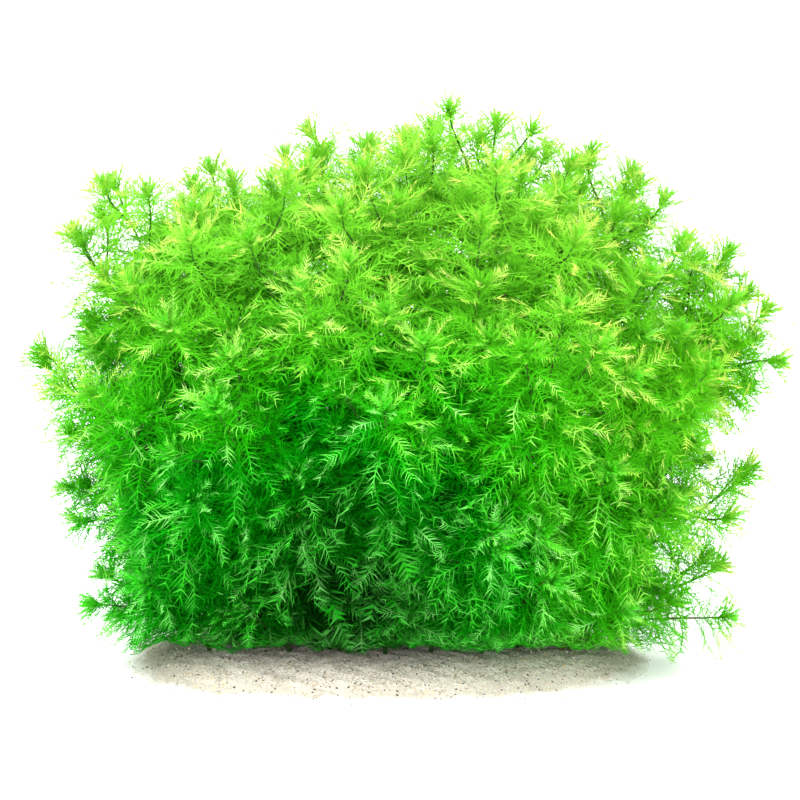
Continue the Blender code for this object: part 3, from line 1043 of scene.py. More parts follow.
@dataclass
class Nodes:
    """A short way to place and join the nodes of one material or group."""

    tree: bpy.types.NodeTree

    def add(self, kind: str, **settings: object) -> bpy.types.Node:
        """Place a node and set its plain settings.

        Args:
            kind: The node's type.
            **settings: Its plain settings, by name.

        Returns:
            The node.
        """
        node = self.tree.nodes.new(kind)
        for key, value in settings.items():
            setattr(node, key, value)
        return node

    def join(self, source: Socket, target: Socket) -> None:
        """Join an output to an input."""
        self.tree.links.new(source, target)

    def feed(self, target: Socket, value: object) -> None:
        """Join a socket to an input, or set the input to a number or to a linear colour triple.

        Args:
            target: The input.
            value: The socket, number or triple.
        """
        if isinstance(value, Socket):
            self.join(value, target)
        else:
            target.default_value = (*value, 1.0) if isinstance(value, tuple) else value

    def math(self, operation: str, *values: Socket | float) -> Socket:
        """Place a Math node.

        Args:
            operation: What it works out.
            *values: Its inputs, sockets or numbers.

        Returns:
            Its output.
        """
        node = self.add("ShaderNodeMath", operation=operation)
        for socket, value in zip(node.inputs, values):
            self.feed(socket, value)
        return node.outputs[0]

    def times(self, first: Socket, second: Socket | float) -> Socket:
        """Return a product."""
        return self.math("MULTIPLY", first, second)

    def mix(self, share: Socket | float, first: Socket | Triple, second: Socket | Triple) -> Socket:
        """Place a colour mix.

        Args:
            share: How much of the second colour there is.
            first: A colour.
            second: Another.

        Returns:
            The mixed colour.
        """
        node = self.add("ShaderNodeMix", data_type="RGBA")
        factor, first_colour, second_colour = 0, 6, 7
        for number, value in ((factor, share), (first_colour, first), (second_colour, second)):
            self.feed(node.inputs[number], value)
        return node.outputs[2]

    def coat(self, under: Socket | Triple, value: Socket, coat: Coat, by: Socket | float = 1.0) -> Socket:
        """Lay a coat over a colour, by a value's place in its span, its most and another share.

        Args:
            under: The colour below.
            value: What the coat goes by.
            coat: The coat.
            by: One more share.

        Returns:
            The mixed colour.
        """
        share = self.span(value, coat.span)
        for factor in (coat.most, by):
            if factor != 1.0:
                share = self.times(share, factor)
        return self.mix(share, under, coat.colour)

    def value_of(self, name: str) -> Socket:
        """Return a surface value of the piece, read by name."""
        return self.add("ShaderNodeAttribute", attribute_name=name).outputs["Fac"]

    def place(self) -> Socket:
        """Return the object's own coordinates."""
        return self.add("ShaderNodeTexCoord").outputs["Object"]

    def parts(self, source: Socket) -> bpy.types.NodeOutputs:
        """Return a vector's X, Y and Z.

        Args:
            source: The vector.

        Returns:
            Its parts, by name.
        """
        node = self.add("ShaderNodeSeparateXYZ")
        self.join(source, node.inputs[0])
        return node.outputs

    def span(self, source: Socket, limits: Pair) -> Socket:
        """Return a value's place between two limits, held from 0 to 1.

        Args:
            source: The value.
            limits: Where the result is zero and where it is one.

        Returns:
            The result.
        """
        node = self.add("ShaderNodeMapRange", clamp=True)
        self.join(source, node.inputs["Value"])
        node.inputs["From Min"].default_value = limits[0]
        node.inputs["From Max"].default_value = limits[1]
        return node.outputs["Result"]

    def noise(self, scale: float, detail: float = 2.0) -> Socket:
        """Return a noise of the object's own coordinates, from 0 to 1.

        Args:
            scale: How fine it is.
            detail: How many finer layers it has.

        Returns:
            The noise.
        """
        node = self.add("ShaderNodeTexNoise")
        self.join(self.place(), node.inputs["Vector"])
        node.inputs["Scale"].default_value = scale
        node.inputs["Detail"].default_value = detail
        return node.outputs["Fac"]

    def sunlit(self, group: Group, limits: Pair) -> Socket:
        """Return how sunlit a place is between two limits, from the shared effect.

        Args:
            group: The shared effect.
            limits: Where the result is zero and where it is one.

        Returns:
            The result.
        """
        node = self.add("ShaderNodeGroup", node_tree=group)
        node.inputs["Low"].default_value = limits[0]
        node.inputs["High"].default_value = limits[1]
        return node.outputs["Sunlit"]


def new_material(
    name: str, roughness: float, shine: float = 0.5
) -> tuple[Material, Nodes, bpy.types.Node, bpy.types.Node]:
    """Make a node material.

    Args:
        name: Its name.
        roughness: How rough its surface is.
        shine: Its specular level.

    Returns:
        The material, its nodes, its Principled shader and its output.
    """
    material = bpy.data.materials.new(name)
    material.use_nodes = True
    given = material.node_tree.nodes
    shader = given["Principled BSDF"]
    shader.inputs["Roughness"].default_value = roughness
    shader.inputs["Specular IOR Level"].default_value = shine
    return material, Nodes(material.node_tree), shader, given["Material Output"]


@dataclass(frozen=True)
class SunlitEffect:
    """The shared effect that says how sunlit a place in the bush is."""

    foot_left: float = 0.040
    foot_height: float = 0.06
    reach: float = 0.32
    noise_scale: float = 14.0
    noise_share: float = 0.45

    def build(self) -> Group:
        """Make the group.

        The value grows with the distance, across and up, from the shaded foot of the bush: the root of
        the summed squares of the two shares, a little more on the right. A broad soft noise breaks it up.

        Returns:
            A group with the inputs Low and High, and the output Sunlit from 0 to 1 between them.
        """
        group = bpy.data.node_groups.new("sunlit", "ShaderNodeTree")
        for name, way in (("Low", "INPUT"), ("High", "INPUT"), ("Sunlit", "OUTPUT")):
            group.interface.new_socket(name, in_out=way, socket_type="NodeSocketFloat")
        nodes = Nodes(group)
        limits = nodes.add("NodeGroupInput").outputs
        place = nodes.parts(nodes.place())
        across = nodes.math("DIVIDE", nodes.math("ADD", place["X"], self.foot_left), self.reach)
        above = nodes.math("DIVIDE", nodes.math("SUBTRACT", place["Z"], self.foot_height), self.reach)
        reach = nodes.math("SQRT", nodes.math("ADD", nodes.times(across, across), nodes.times(above, above)))
        rough = nodes.math("SUBTRACT", nodes.noise(self.noise_scale), 0.5)
        rough = nodes.math("MULTIPLY_ADD", rough, self.noise_share, reach)
        spread = nodes.math("SUBTRACT", limits["High"], limits["Low"])
        share = nodes.math("DIVIDE", nodes.math("SUBTRACT", rough, limits["Low"]), spread)
        held = nodes.math("MINIMUM", nodes.math("MAXIMUM", share, 0.0), 1.0)
        nodes.join(held, nodes.add("NodeGroupOutput").inputs["Sunlit"])
        return group


@dataclass(frozen=True)
class LeafFinish:
    """Thin wet leaf: paler combs, light that passes through, and painted light and shade.

    The deep colours are painted shade, laid on shaded points, and are darkest at the foot of the bush.
    The body is painted dark green towards the foot as shade, and sunny and yellow-green towards the
    top as painted sunlight. A span says where a colour sets in and is whole, and a share how much of
    it there is at most.
    """

    deepest: Triple = (0.0004, 0.038, 0.0004)
    deep: Triple = (0.001, 0.400, 0.001)
    deep_sunny: Triple = (0.100, 0.450, 0.007)
    deep_high: Triple = (0.220, 0.590, 0.034)
    painted_foot_shade: Triple = (0.004, 0.360, 0.003)
    bright: Triple = (0.045, 0.780, 0.010)
    sunny: Triple = (0.540, 0.860, 0.060)
    painted_top_light: Triple = (0.720, 0.870, 0.200)
    olive: Triple = (0.500, 0.530, 0.090)
    young: Coat = Coat((0.025, 0.560, 0.004), (0.30, 0.05), 0.8)
    pale: Triple = (0.470, 0.880, 0.350)
    foot_span: Pair = (0.10, 0.60)
    sunny_span: Pair = (0.45, 1.00)
    sunny_share: float = 0.80
    high_span: Pair = (0.25, 0.41)
    painted_top_light_share: float = 0.70
    pale_share_low: float = 0.55
    pale_share_more: float = 0.35
    pale_power: float = 1.8
    olive_share: float = 0.85
    old_leaf_shade_span: Pair = (0.45, 1.0)
    old_leaf_shade_share: float = 0.45
    glow_share: float = 0.12
    roughness: float = 0.55
    shine: float = 0.05
    through: float = 0.22

    def build(self, sunlit: Group) -> Material:
        """Make the leaf material: colours by age and tone, painted light and shade by place, height and
        depth, and some light passing through.

        Args:
            sunlit: The shared effect.

        Returns:
            The material.
        """
        material, nodes, shader, output = new_material("feathery_leaf", self.roughness, self.shine)
        sun = nodes.sunlit(sunlit, self.sunny_span)
        foot = nodes.sunlit(sunlit, self.foot_span)
        high = nodes.span(nodes.parts(nodes.place())["Z"], self.high_span)
        age = nodes.value_of("age")
        # Painted shade: the body turns from bright to a dark foot green towards the bush's foot.
        body = nodes.mix(foot, self.painted_foot_shade, self.bright)
        # Painted sunlight: sunny where the sunlit effect is high, and yellow-green towards the top.
        body = nodes.mix(nodes.times(sun, self.sunny_share), body, self.sunny)
        body = nodes.mix(nodes.times(high, self.painted_top_light_share), body, self.painted_top_light)
        # Pale combs by each pinna's random tone, with fewer of them in the painted shade at the foot.
        paler = nodes.math("MULTIPLY_ADD", foot, self.pale_share_more, self.pale_share_low)
        tone = nodes.times(nodes.math("POWER", nodes.value_of("tone"), self.pale_power), paler)
        body = nodes.mix(tone, body, self.pale)
        # Olive at the outer fringe, as far as the painted sunlight reaches.
        fringe = nodes.times(nodes.value_of("fringe"), sun)
        body = nodes.mix(nodes.times(fringe, self.olive_share), body, self.olive)
        body = nodes.coat(body, age, self.young)
        # Painted shade: old leaves inside the bush take the shade colours by age, other points by depth.
        inner = nodes.times(nodes.span(age, self.old_leaf_shade_span), self.old_leaf_shade_share)
        shade = nodes.math("MAXIMUM", nodes.value_of("depth"), inner)
        # The painted shade colours: darkest at the foot, lighter where sunlit, yellow-green high up.
        dark = nodes.mix(foot, self.deepest, self.deep)
        dark = nodes.mix(sun, dark, self.deep_sunny)
        dark = nodes.mix(high, dark, self.deep_high)
        colour = nodes.mix(shade, body, dark)
        nodes.join(colour, shader.inputs["Base Color"])
        glow = nodes.add("ShaderNodeBsdfTranslucent")
        nodes.join(nodes.mix(self.glow_share, colour, self.bright), glow.inputs["Color"])
        both = nodes.add("ShaderNodeMixShader")
        for socket, value in zip(both.inputs, (self.through, shader.outputs[0], glow.outputs[0])):
            nodes.feed(socket, value)
        nodes.join(both.outputs[0], output.inputs["Surface"])
        return material


@dataclass(frozen=True)
class StemFinish:
    """Slim stem: green near the tip, olive brown and here and there reddish further down."""

    fresh: Triple = (0.035, 0.160, 0.012)
    old: Coat = Coat((0.012, 0.048, 0.006), (0.02, 0.25))
    reddish: Coat = Coat((0.110, 0.045, 0.015), (0.45, 0.70))
    streak_scale: float = 90.0
    sunny_span: Pair = (0.45, 1.05)
    sunny_share: float = 0.25
    roughness: float = 0.6
    shine: float = 0.15

    def build(self, sunlit: Group) -> Material:
        """Make the stem material: fresh to old by age, lifted where it is sunlit, with reddish streaks.

        Args:
            sunlit: The shared effect.

        Returns:
            The material.
        """
        material, nodes, shader, _ = new_material("slim_stem", self.roughness, self.shine)
        body = nodes.coat(self.fresh, nodes.value_of("age"), self.old)
        sun = nodes.times(nodes.sunlit(sunlit, self.sunny_span), self.sunny_share)
        body = nodes.mix(sun, body, self.fresh)
        body = nodes.coat(body, nodes.noise(self.streak_scale), self.reddish, nodes.value_of("tone"))
        nodes.join(body, shader.inputs["Base Color"])
        return material


@dataclass(frozen=True)
class SandFinish:
    """Pale sand: off-white grains with grey and ochre ones among them, dark specks, a dusty edge, and
    painted light: darker out towards the rim, which the lamps light fully, paler further in, in the
    bush's shadow.
    """

    pale: Triple = (0.98, 0.90, 0.80)
    # Painted light: the sand darkens towards its rim, which the lamps light fully, and stays pale further in,
    # where the bush shades it.
    painted_light_offset: Coat = Coat((0.54, 0.50, 0.43), (0.72, 0.92))
    grey: Coat = Coat((0.32, 0.28, 0.22), (0.30, 1.0))
    warm: Coat = Coat((0.62, 0.46, 0.26), (0.85, 0.97))
    stain: Coat = Coat((0.32, 0.28, 0.22), (0.45, 0.75), 0.30)
    dark: Coat = Coat((0.06, 0.045, 0.035), (0.97, 0.98))
    dust: Coat = Coat((0.88, 0.87, 0.84), (0.94, 1.0))
    grain_scale: float = 700.0
    patch_scale: float = 70.0
    patch_span: Pair = (0.35, 0.65)
    patch_share: float = 0.6
    patch_rest: float = 0.4
    stain_scale: float = 30.0
    ragged_scale: float = 55.0
    ragged_share: float = 0.10
    fine_detail: float = 4.0
    roughness: float = 0.85
    bump_strength: float = 0.6
    bump_height: float = 0.0006

    def build(self) -> Material:
        """Make the sand's material: a cell pattern for the grains, coloured cell by cell.

        Returns:
            The material.
        """
        material, nodes, shader, _ = new_material("pale_sand", self.roughness)
        cells = nodes.add("ShaderNodeTexVoronoi")
        nodes.join(nodes.place(), cells.inputs["Vector"])
        cells.inputs["Scale"].default_value = self.grain_scale
        hue = nodes.add("ShaderNodeSeparateColor")
        nodes.join(cells.outputs["Color"], hue.inputs[0])
        red, green, blue = hue.outputs
        edge = nodes.value_of("edge")
        patches = nodes.span(nodes.noise(self.patch_scale), self.patch_span)
        grainy = nodes.math("MULTIPLY_ADD", patches, self.patch_share, self.patch_rest)
        rough = nodes.math("SUBTRACT", nodes.noise(self.ragged_scale, self.fine_detail), 0.5)
        # Painted light: darker towards the rim, paler in the bush's shadow.
        body = nodes.coat(self.pale, edge, self.painted_light_offset)
        body = nodes.coat(body, red, self.grey, grainy)
        body = nodes.coat(body, green, self.warm, grainy)
        body = nodes.coat(body, nodes.noise(self.stain_scale, self.fine_detail), self.stain)
        body = nodes.coat(body, blue, self.dark)
        body = nodes.coat(body, nodes.math("MULTIPLY_ADD", rough, self.ragged_share, edge), self.dust)
        nodes.join(body, shader.inputs["Base Color"])
        bump = nodes.add("ShaderNodeBump")
        bump.inputs["Strength"].default_value = self.bump_strength
        bump.inputs["Distance"].default_value = self.bump_height
        nodes.join(cells.outputs["Distance"], bump.inputs["Height"])
        nodes.join(bump.outputs[0], shader.inputs["Normal"])
        return material


@dataclass(frozen=True)
class GrainFinish:
    """Loose grains: each has one tone of its own, from white through ochre to nearly black."""

    pale: Triple = (0.82, 0.78, 0.70)
    ochre: Coat = Coat((0.55, 0.38, 0.16), (0.45, 0.55))
    dark: Coat = Coat((0.045, 0.032, 0.025), (0.68, 0.75))
    mottle: Coat = Coat((0.55, 0.38, 0.16), (0.3, 0.7), 0.3)
    mottle_scale: float = 1500.0
    roughness: float = 0.6

    def build(self) -> Material:
        """Make the grains' material.

        Returns:
            The material.
        """
        material, nodes, shader, _ = new_material("loose_grain", self.roughness)
        tone = nodes.value_of("tone")
        body = nodes.coat(self.pale, tone, self.ochre)
        body = nodes.coat(body, tone, self.dark)
        body = nodes.coat(body, nodes.noise(self.mottle_scale), self.mottle)
        nodes.join(body, shader.inputs["Base Color"])
        return material


@dataclass
class Bush:
    """All the shoots, each one a piece with its stems, side shoots, leaves and tufts."""

    planting: Planting = field(default_factory=Planting)
    outline: Outline = field(default_factory=Outline)
    canopy: Canopy = field(default_factory=Canopy)
    side_tips: SideTips = field(default_factory=SideTips)
    growth: TipGrowth = field(default_factory=TipGrowth)
    branch_share: float = 0.85
    branch_more: Pair = (0.012, 0.040)
    branch_deepest: float = 0.8
    branch_pull: float = 0.38
    branch_turn: float = 0.6
    branch_steps: int = 14
    leafy_share: float = 0.85
    leaf_clear: float = 0.0015
    outer_until: float = 0.030
    light_until: float = -0.002
    dark_over: float = 0.030
    fringe_from: float = 0.004
    fringe_over: float = 0.032
    hem_side: float = 0.009
    hem_front: float = 0.0120
    hem_slope: float = 0.176
    hem_waves: tuple[Triple, ...] = (
        (70.0, 0.4, 0.0022), (190.0, 1.9, 0.0018), (520.0, 0.2, 0.0014), (1100.0, 2.6, 0.0008)
    )
    hem_half: Pair = (0.160, 0.215)
    hem_softness: float = 0.003
    hem_shade: float = 0.005
    seed: int = 41

    def side_path(self, shoot: MainShoot, tip: Array, heading: Array, rng: Rng) -> Array:
        """Return a side stem: a cubic curve that leaves the main stem low down and arrives at its own tip.

        It leaves further down the further its tip is from the main one.

        Args:
            shoot: The main shoot.
            tip: Where the side stem ends.
            heading: Its direction there.
            rng: The random source.

        Returns:
            The side stem's points.
        """
        away = float(np.linalg.norm(tip - shoot.tip))
        below = self.branch_share * away + rng.uniform(*self.branch_more)
        below = min(below, self.branch_deepest * path_length(shoot.path))
        point, ahead = along_path(shoot.path, np.array([below]))
        pull = self.branch_pull * float(np.linalg.norm(tip - point[0]))
        leave = unit(ahead[0] + self.branch_turn * unit(tip - point[0]))
        return cubic(point[0], point[0] + leave * pull, tip - heading * pull, tip, self.branch_steps)

    def hem(self, x: Array, y: Array) -> Array:
        """Return how low leaves hang: in front, less low the further out, with sine waves along it.

        Args:
            x: Places across.
            y: Places away from the viewer.

        Returns:
            Heights above the floor.
        """
        inner, outer = self.hem_half
        front = np.clip((outer - np.abs(x)) / (outer - inner), 0.0, 1.0) * (y < 0.0)
        low = self.hem_side + (self.hem_front - self.hem_side - self.hem_slope * y) * front
        low = low + sum(size * (1.0 + np.sin(a * x + start)) for a, start, size in self.hem_waves)
        return np.maximum(low, self.planting.ground(x, y) + self.leaf_clear)

    def lift_hem(self, soup: Soup) -> None:
        """Lift leaf points that hang below the hem, by a soft maximum of the point and the hem.

        Args:
            soup: The leaves' triangles.
        """
        for block in soup.points:
            low = self.hem(block[:, 0], block[:, 1])
            above = (block[:, 2] - low) / self.hem_softness
            block[:, 2] = low + self.hem_softness * np.logaddexp(0.0, above)

    def mark_painted_shade(self, soups: list[Soup]) -> None:
        """Note each point's depth in the bush, painted as shade, and how far out in its fringe, from 0 to 1.

        The depth, which the leaf material paints as shade, is the greatest of three: how far inside the
        outline it is, how far below the leaves over it, and how near the hem. The fringe grows with the
        distance outside the outline.

        Args:
            soups: Every piece's triangles.
        """
        points = np.concatenate([block for soup in soups for block in soup.points])
        buried = self.outline.buried(points)
        inside = np.clip((buried - self.light_until) / self.dark_over, 0.0, 1.0)
        depth = np.maximum(inside, self.canopy.below(points))
        low = points[:, 2] - self.hem(points[:, 0], points[:, 1])
        depth = np.maximum(depth, 1.0 - np.clip(low / self.hem_shade, 0.0, 1.0))
        fringe = np.clip((-buried - self.fringe_from) / self.fringe_over, 0.0, 1.0)
        ends = np.cumsum([soup.count for soup in soups])[:-1]
        for soup, deep, outer in zip(soups, np.split(depth, ends), np.split(fringe, ends)):
            # The depth values go to the leaf material as painted shade.
            soup.values["depth"] = [deep]
            soup.values["fringe"] = [outer]

    def grow_tip(self, soup: Soup, path: Array, rng: Rng) -> None:
        """Add the open leaves, the tuft and, further down, the old leaves of one stem.

        Args:
            soup: The piece's triangles.
            path: The stem, its tip last.
            rng: The random source.
        """
        room = max(self.leafy_share * path_length(path), self.growth.whorls[0].below)
        turn = rng.uniform(0.0, TURN)
        for number, whorl in enumerate(self.growth.whorls):
            if whorl.below <= room:
                stand = self.growth.open_leaves(whorl, turn + GOLDEN_ANGLE * number, path, rng)
                whorl.shape.grow(soup, stand, rng)
        YOUNG_LEAF.grow(soup, self.growth.young_leaves(path, rng), rng)
        old = self.growth.old_leaves(path, rng)
        if old is not None:
            outer = self.outline.buried(old.base) < self.outer_until
            for shape, chosen in ((WIRY_LEAF, outer), (OLD_LEAF, ~outer)):
                if chosen.any():
                    shape.grow(soup, old.pick(chosen), rng)

    def grow_shoot(self, shoot: MainShoot, tips: Array, headings: Array, rng: Rng) -> Soup:
        """Return the triangles of one main shoot and its side shoots.

        Args:
            shoot: The main shoot.
            tips: Its side shoots' tips.
            headings: The stems' directions there.
            rng: The random source.

        Returns:
            The piece's triangles.
        """
        leaves, stems = Soup(), Soup()
        redness = rng.uniform(0.0, 1.0) ** 2
        self.grow_tip(leaves, shoot.path, rng)
        foot = shoot.root - UP * self.planting.root_depth
        MAIN_STEM.grow(stems, np.vstack([foot, shoot.path]), redness)
        for tip, heading in zip(tips, headings):
            path = self.side_path(shoot, tip, heading, rng)
            self.grow_tip(leaves, path, rng)
            SIDE_STEM.grow(stems, path, redness)
        self.lift_hem(leaves)
        leaves.take_in(stems)
        return leaves

    def dress(self, piece: bpy.types.Object, node: str) -> None:
        """Put a foliage piece in its shoot's place: hide the shoot's part and attach the piece to the root.

        Args:
            piece: The piece.
            node: The shoot's node.
        """
        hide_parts(node)
        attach(piece, "root")

    def build(self) -> int:
        """Build every shoot's piece.

        Returns:
            The number of triangles made.
        """
        sunlit = SunlitEffect().build()
        materials = [LeafFinish().build(sunlit), StemFinish().build(sunlit)]
        shoots = self.planting.shoots()
        mains = np.array([shoot.tip for shoot in shoots])
        tips = self.side_tips.spread(self.outline, mains)
        nearest = np.linalg.norm(tips[:, None] - mains[None], axis=2).argmin(axis=1)
        ends = np.array([shoot.end for shoot in shoots])[nearest]
        headings = self.side_tips.headings(self.outline, tips, ends)
        soups = []
        for number, shoot in enumerate(shoots):
            rng = np.random.default_rng(self.seed + number)
            soups.append(self.grow_shoot(shoot, tips[nearest == number], headings[nearest == number], rng))
        self.mark_painted_shade(soups)
        total = 0
        for number, (shoot, soup) in enumerate(zip(shoots, soups)):
            piece = soup.build(f"{shoot.node}_foliage", materials, smooth=False)
            self.dress(piece, shoot.node)
            total += len(piece.data.polygons)
            side = int((nearest == number).sum())
            log.info("%s: %d side shoots, %d triangles", piece.name, side, len(piece.data.polygons))
        return total


@dataclass
class SandBed:
    """The patch of sand: its grained surface and the loose grains on it."""

    planting: Planting = field(default_factory=Planting)
    rings: int = 56
    steps: int = 220
    ripple: float = 0.0007
    ripples: tuple[Pair, ...] = ((210.0, 1.0), (370.0, 0.6), (640.0, 0.4), (1100.0, 0.25))
    ripple_sway: float = 1.7
    ripple_sway_rate: float = 0.6
    ripple_fade: float = 12.0
    thins_from: float = 0.84
    rim_height: float = 0.0004
    foot_share: float = 0.996
    grains: int = 2600
    grain_sizes: Pair = (0.00035, 0.0011)
    grain_rarity: int = 3
    grain_area: Pair = (0.25, 1.03)
    grain_lift: float = 0.35
    grain_stretch: Pair = (0.7, 1.3)
    grain_squash: float = 0.7
    seed: int = 5

    def rough_height(self, x: Array, y: Array) -> Array:
        """Return the surface's height: the mound plus four crossed sine ripples of falling size.

        Args:
            x: Places across.
            y: Places away from the viewer.

        Returns:
            Heights above the floor.
        """
        bumps = np.zeros_like(x)
        for scale, share in self.ripples:
            sway = self.ripple_sway * np.sin(self.ripple_sway_rate * scale * y)
            bumps += share * np.sin(scale * x + sway) * np.cos(scale * y + share)
        return self.planting.sand_height(x, y) + self.ripple * bumps

    def thinning(self, share: Array) -> Array:
        """Return how much of its height the sand keeps: one less the square of the way over its rim."""
        return 1.0 - np.clip((share - self.thins_from) / (1.0 - self.thins_from), 0.0, 1.0) ** 2

    def on_plan(self, angle: Array, reach: Array) -> tuple[Array, Array]:
        """Return places across and away from an angle round the oval and a share of its half axes."""
        plan = self.planting
        return plan.sand_half_length * reach * np.cos(angle), plan.sand_half_depth * reach * np.sin(angle)

    def surface(self) -> tuple[Soup, Array]:
        """Work out the closed mound on a polar grid: rings of shares of the wavy oval, then a flat foot.

        Returns:
            The triangles of the mound, and for each whether it is on the top.
        """
        plan = self.planting
        angle = all_round(self.steps)
        share = np.sin(np.linspace(0.0, math.pi / 2.0, self.rings + 1)[1:])
        x, y = (share[:, None] * half for half in self.on_plan(angle, plan.edge_share(angle)))
        fade = np.minimum(1.0, self.ripple_fade * (1.0 - share))[:, None]
        z = plan.sand_height(x, y) + (self.rough_height(x, y) - plan.sand_height(x, y)) * fade
        z = self.rim_height + (z - self.rim_height) * self.thinning(share)[:, None]
        top = np.stack([x, y, z], axis=-1).reshape(-1, 3)
        foot = np.stack([self.foot_share * x[-1], self.foot_share * y[-1], np.zeros(self.steps)], axis=-1)
        crest = float(plan.sand_height(np.float64(0.0), np.float64(0.0)))
        points = np.concatenate([top, foot, [[0.0, 0.0, crest]], [[0.0, 0.0, 0.0]]])
        lower, upper = ring_faces(self.rings + 1, self.steps)
        k = np.arange(self.steps)
        n = (k + 1) % self.steps
        last = self.rings * self.steps
        crown = np.stack([np.full(self.steps, len(points) - 2), k, n], axis=-1)
        floor = np.stack([np.full(self.steps, len(points) - 1), last + n, last + k], axis=-1)
        faces = np.concatenate([upper[:, [0, 2, 1]], lower[:, [0, 2, 1]], crown, floor])
        edge = np.concatenate([np.repeat(share, self.steps), np.ones(self.steps), [0.0, 0.0]])
        soup = Soup()
        soup.add(points, faces, 0, edge=edge)
        wall = np.arange(last) // self.steps == self.rings - 1
        top = ~np.concatenate([wall, wall, np.zeros(self.steps, bool), np.ones(self.steps, bool)])
        return soup, top

    def loose_grains(self) -> Soup:
        """Scatter small squashed octahedra over the sand, a few of them just beyond its edge.

        Each is stretched by three random factors, turned about the upright by a random angle, and
        lifted until no corner is below the floor.

        Returns:
            The triangles of all the grains.
        """
        rng = np.random.default_rng(self.seed)
        angle = rng.uniform(0.0, TURN, self.grains)
        share = np.sqrt(rng.uniform(*self.grain_area, self.grains))
        x, y = self.on_plan(angle, self.planting.edge_share(angle) * share)
        size = between(self.grain_sizes, rng.uniform(0.0, 1.0, self.grains) ** self.grain_rarity)
        ground = np.where(share < 1.0, self.rough_height(x, y) * self.thinning(share), 0.0)
        centre = np.stack([x, y, ground + self.grain_lift * size], axis=-1)
        corners = np.array([[1, 0, 0], [0, 1, 0], [-1, 0, 0], [0, -1, 0], [0, 0, 1], [0, 0, -1]], float)
        turn = rng.uniform(0.0, TURN, self.grains)
        stretch = rng.uniform(*self.grain_stretch, (self.grains, 1, 3)) * np.array([1, 1, self.grain_squash])
        across, away, up = np.moveaxis(corners[None] * stretch * size[:, None, None], -1, 0)
        cos, sin = np.cos(turn)[:, None], np.sin(turn)[:, None]
        points = centre[:, None] + np.stack([across * cos - away * sin, across * sin + away * cos, up], -1)
        points[..., 2] -= np.minimum(0.0, points[..., 2].min(axis=1))[:, None]
        upper = [[0, 1, 4], [1, 2, 4], [2, 3, 4], [3, 0, 4]]
        faces = np.array(upper + [[1, 0, 5], [2, 1, 5], [3, 2, 5], [0, 3, 5]])
        faces = faces[None] + len(corners) * np.arange(self.grains)[:, None, None]
        soup = Soup()
        soup.add(points, faces, 0, tone=np.repeat(rng.uniform(0.0, 1.0, self.grains), len(corners)))
        return soup

    def dress(self, piece: bpy.types.Object) -> int:
        """Attach a piece to the root and log its number of triangles.

        Args:
            piece: The piece.

        Returns:
            Its number of triangles.
        """
        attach(piece, "root")
        log.info("%s: %d triangles", piece.name, len(piece.data.polygons))
        return len(piece.data.polygons)

    def build(self) -> int:
        """Build the sand's surface and its grains.

        Returns:
            The number of triangles made.
        """
        mound, top = self.surface()
        bed = mound.build("sand_surface", [SandFinish().build()], smooth=top)
        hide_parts("sand_bed")
        grains = self.loose_grains().build("loose_sand_grains", [GrainFinish().build()], smooth=False)
        return self.dress(bed) + self.dress(grains)


@dataclass(frozen=True)
class Lamp:
    """A distant soft light: its name, where it shines from, how wide it is in degrees, and its power."""

    name: str
    place: Triple
    softness: float
    power: float


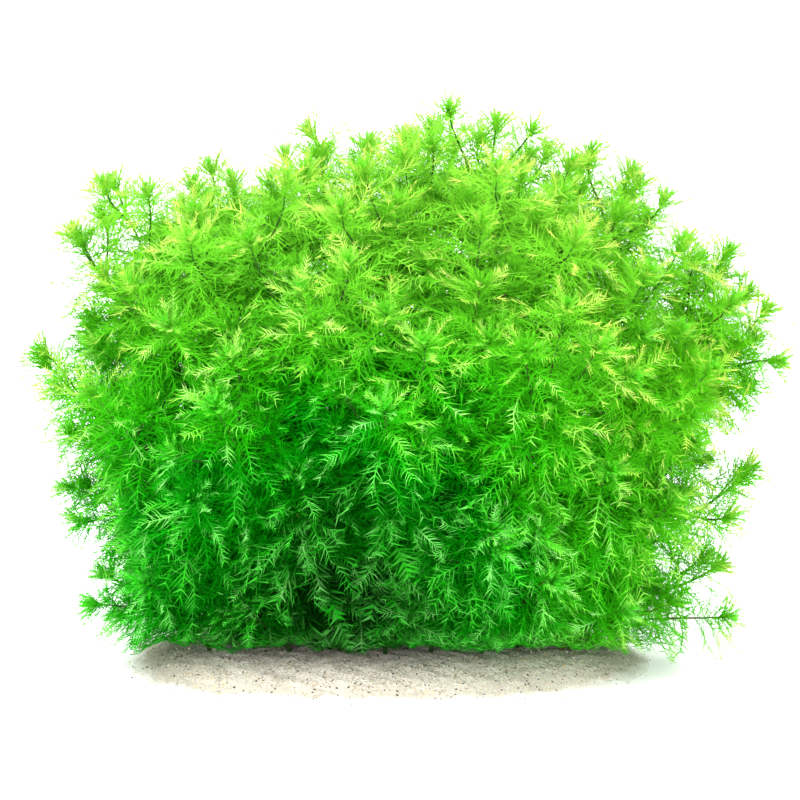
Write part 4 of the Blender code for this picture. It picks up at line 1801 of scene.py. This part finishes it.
@dataclass(frozen=True)
class Studio:
    """A plain pale floor, soft light and the camera."""

    target: Triple = (0.011, 0.0, 0.203)
    elevation: float = 10.0
    distance: float = 3.0
    millimetres_a_pixel: float = 0.75
    image_width: int = 800
    sensor_width: float = 36.0
    farthest_seen: float = 50.0
    floor_size: float = 60.0
    floor_drop: float = 0.0002
    floor_tones: tuple[Triple, Triple] = ((0.90, 0.90, 0.90), (0.93, 0.93, 0.93))
    floor_noise: float = 3.0
    floor_roughness: float = 0.9
    floor_glow: float = 0.12
    sky_strength: float = 0.50
    sky_overhead: float = 1.7
    overhead_span: Pair = (0.0, 0.8)
    lamps: tuple[Lamp, ...] = (
        Lamp("key", (-0.2, -1.0, 2.5), 30.0, 3.3),
        Lamp("front", (-0.3, -2.5, 1.0), 40.0, 1.8),
        Lamp("back", (0.6, 1.2, 2.2), 50.0, 1.2),
    )

    def floor(self) -> None:
        """Lay the floor: a wide flat sheet with a faint noise in its paleness."""
        half = self.floor_size / 2.0
        mesh = bpy.data.meshes.new("floor")
        corners = [(-half, -half, 0), (half, -half, 0), (half, half, 0), (-half, half, 0)]
        mesh.from_pydata(corners, [], [(0, 1, 2, 3)])
        item = placed("floor", mesh)
        item.location = (0.0, 0.0, -self.floor_drop)
        material, nodes, shader, _ = new_material("pale_floor", self.floor_roughness)
        shade = nodes.mix(nodes.noise(self.floor_noise), *self.floor_tones)
        nodes.join(shade, shader.inputs["Base Color"])
        shader.inputs["Emission Color"].default_value = (1.0, 1.0, 1.0, 1.0)
        shader.inputs["Emission Strength"].default_value = self.floor_glow
        mesh.materials.append(material)

    def hang(self, lamp: Lamp) -> None:
        """Hang a lamp that shines towards the bush.

        Args:
            lamp: The lamp.
        """
        light = bpy.data.lights.new(lamp.name, "SUN")
        light.angle = math.radians(lamp.softness)
        light.energy = lamp.power
        item = placed(lamp.name, light)
        item.location = lamp.place
        item.rotation_euler = (Vector(self.target) - Vector(lamp.place)).to_track_quat("-Z", "Y").to_euler()

    def sky(self) -> None:
        """Set a white sky that is brighter overhead."""
        world = bpy.data.worlds.new("soft_white")
        world.use_nodes = True
        nodes = Nodes(world.node_tree)
        background = world.node_tree.nodes["Background"]
        background.inputs["Color"].default_value = (1.0, 1.0, 1.0, 1.0)
        up = nodes.parts(nodes.add("ShaderNodeTexCoord").outputs["Generated"])["Z"]
        overhead = nodes.span(up, self.overhead_span)
        strength = nodes.math("MULTIPLY_ADD", overhead, self.sky_overhead, self.sky_strength)
        nodes.join(strength, background.inputs["Strength"])
        bpy.context.scene.world = world

    def camera(self) -> None:
        """Place the camera so that the photograph's frame spans its width at the bush's middle."""
        data = bpy.data.cameras.new("camera")
        width = self.image_width * self.millimetres_a_pixel * MILLIMETRE
        data.sensor_width = self.sensor_width
        data.lens = data.sensor_width * self.distance / width
        data.clip_end = self.farthest_seen
        item = placed("camera", data)
        rise = math.radians(self.elevation)
        away = Vector((0.0, -math.cos(rise), math.sin(rise)))
        item.location = Vector(self.target) + away * self.distance
        item.rotation_euler = (-away).to_track_quat("-Z", "Y").to_euler()
        bpy.context.scene.camera = item

    def build(self) -> None:
        """Set up the sky, the floor, the lamps and the camera."""
        bpy.context.scene.view_settings.view_transform = "Standard"
        self.sky()
        self.floor()
        for lamp in self.lamps:
            self.hang(lamp)
        self.camera()


def main() -> None:
    """Build the bush, the sand and the studio around the frame."""
    logging.basicConfig(level=logging.INFO, format="%(name)s: %(message)s")
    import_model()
    total = Bush().build()
    total += SandBed().build()
    Studio().build()
    log.info("%d triangles in all", total)


if __name__ == "__main__":
    main()
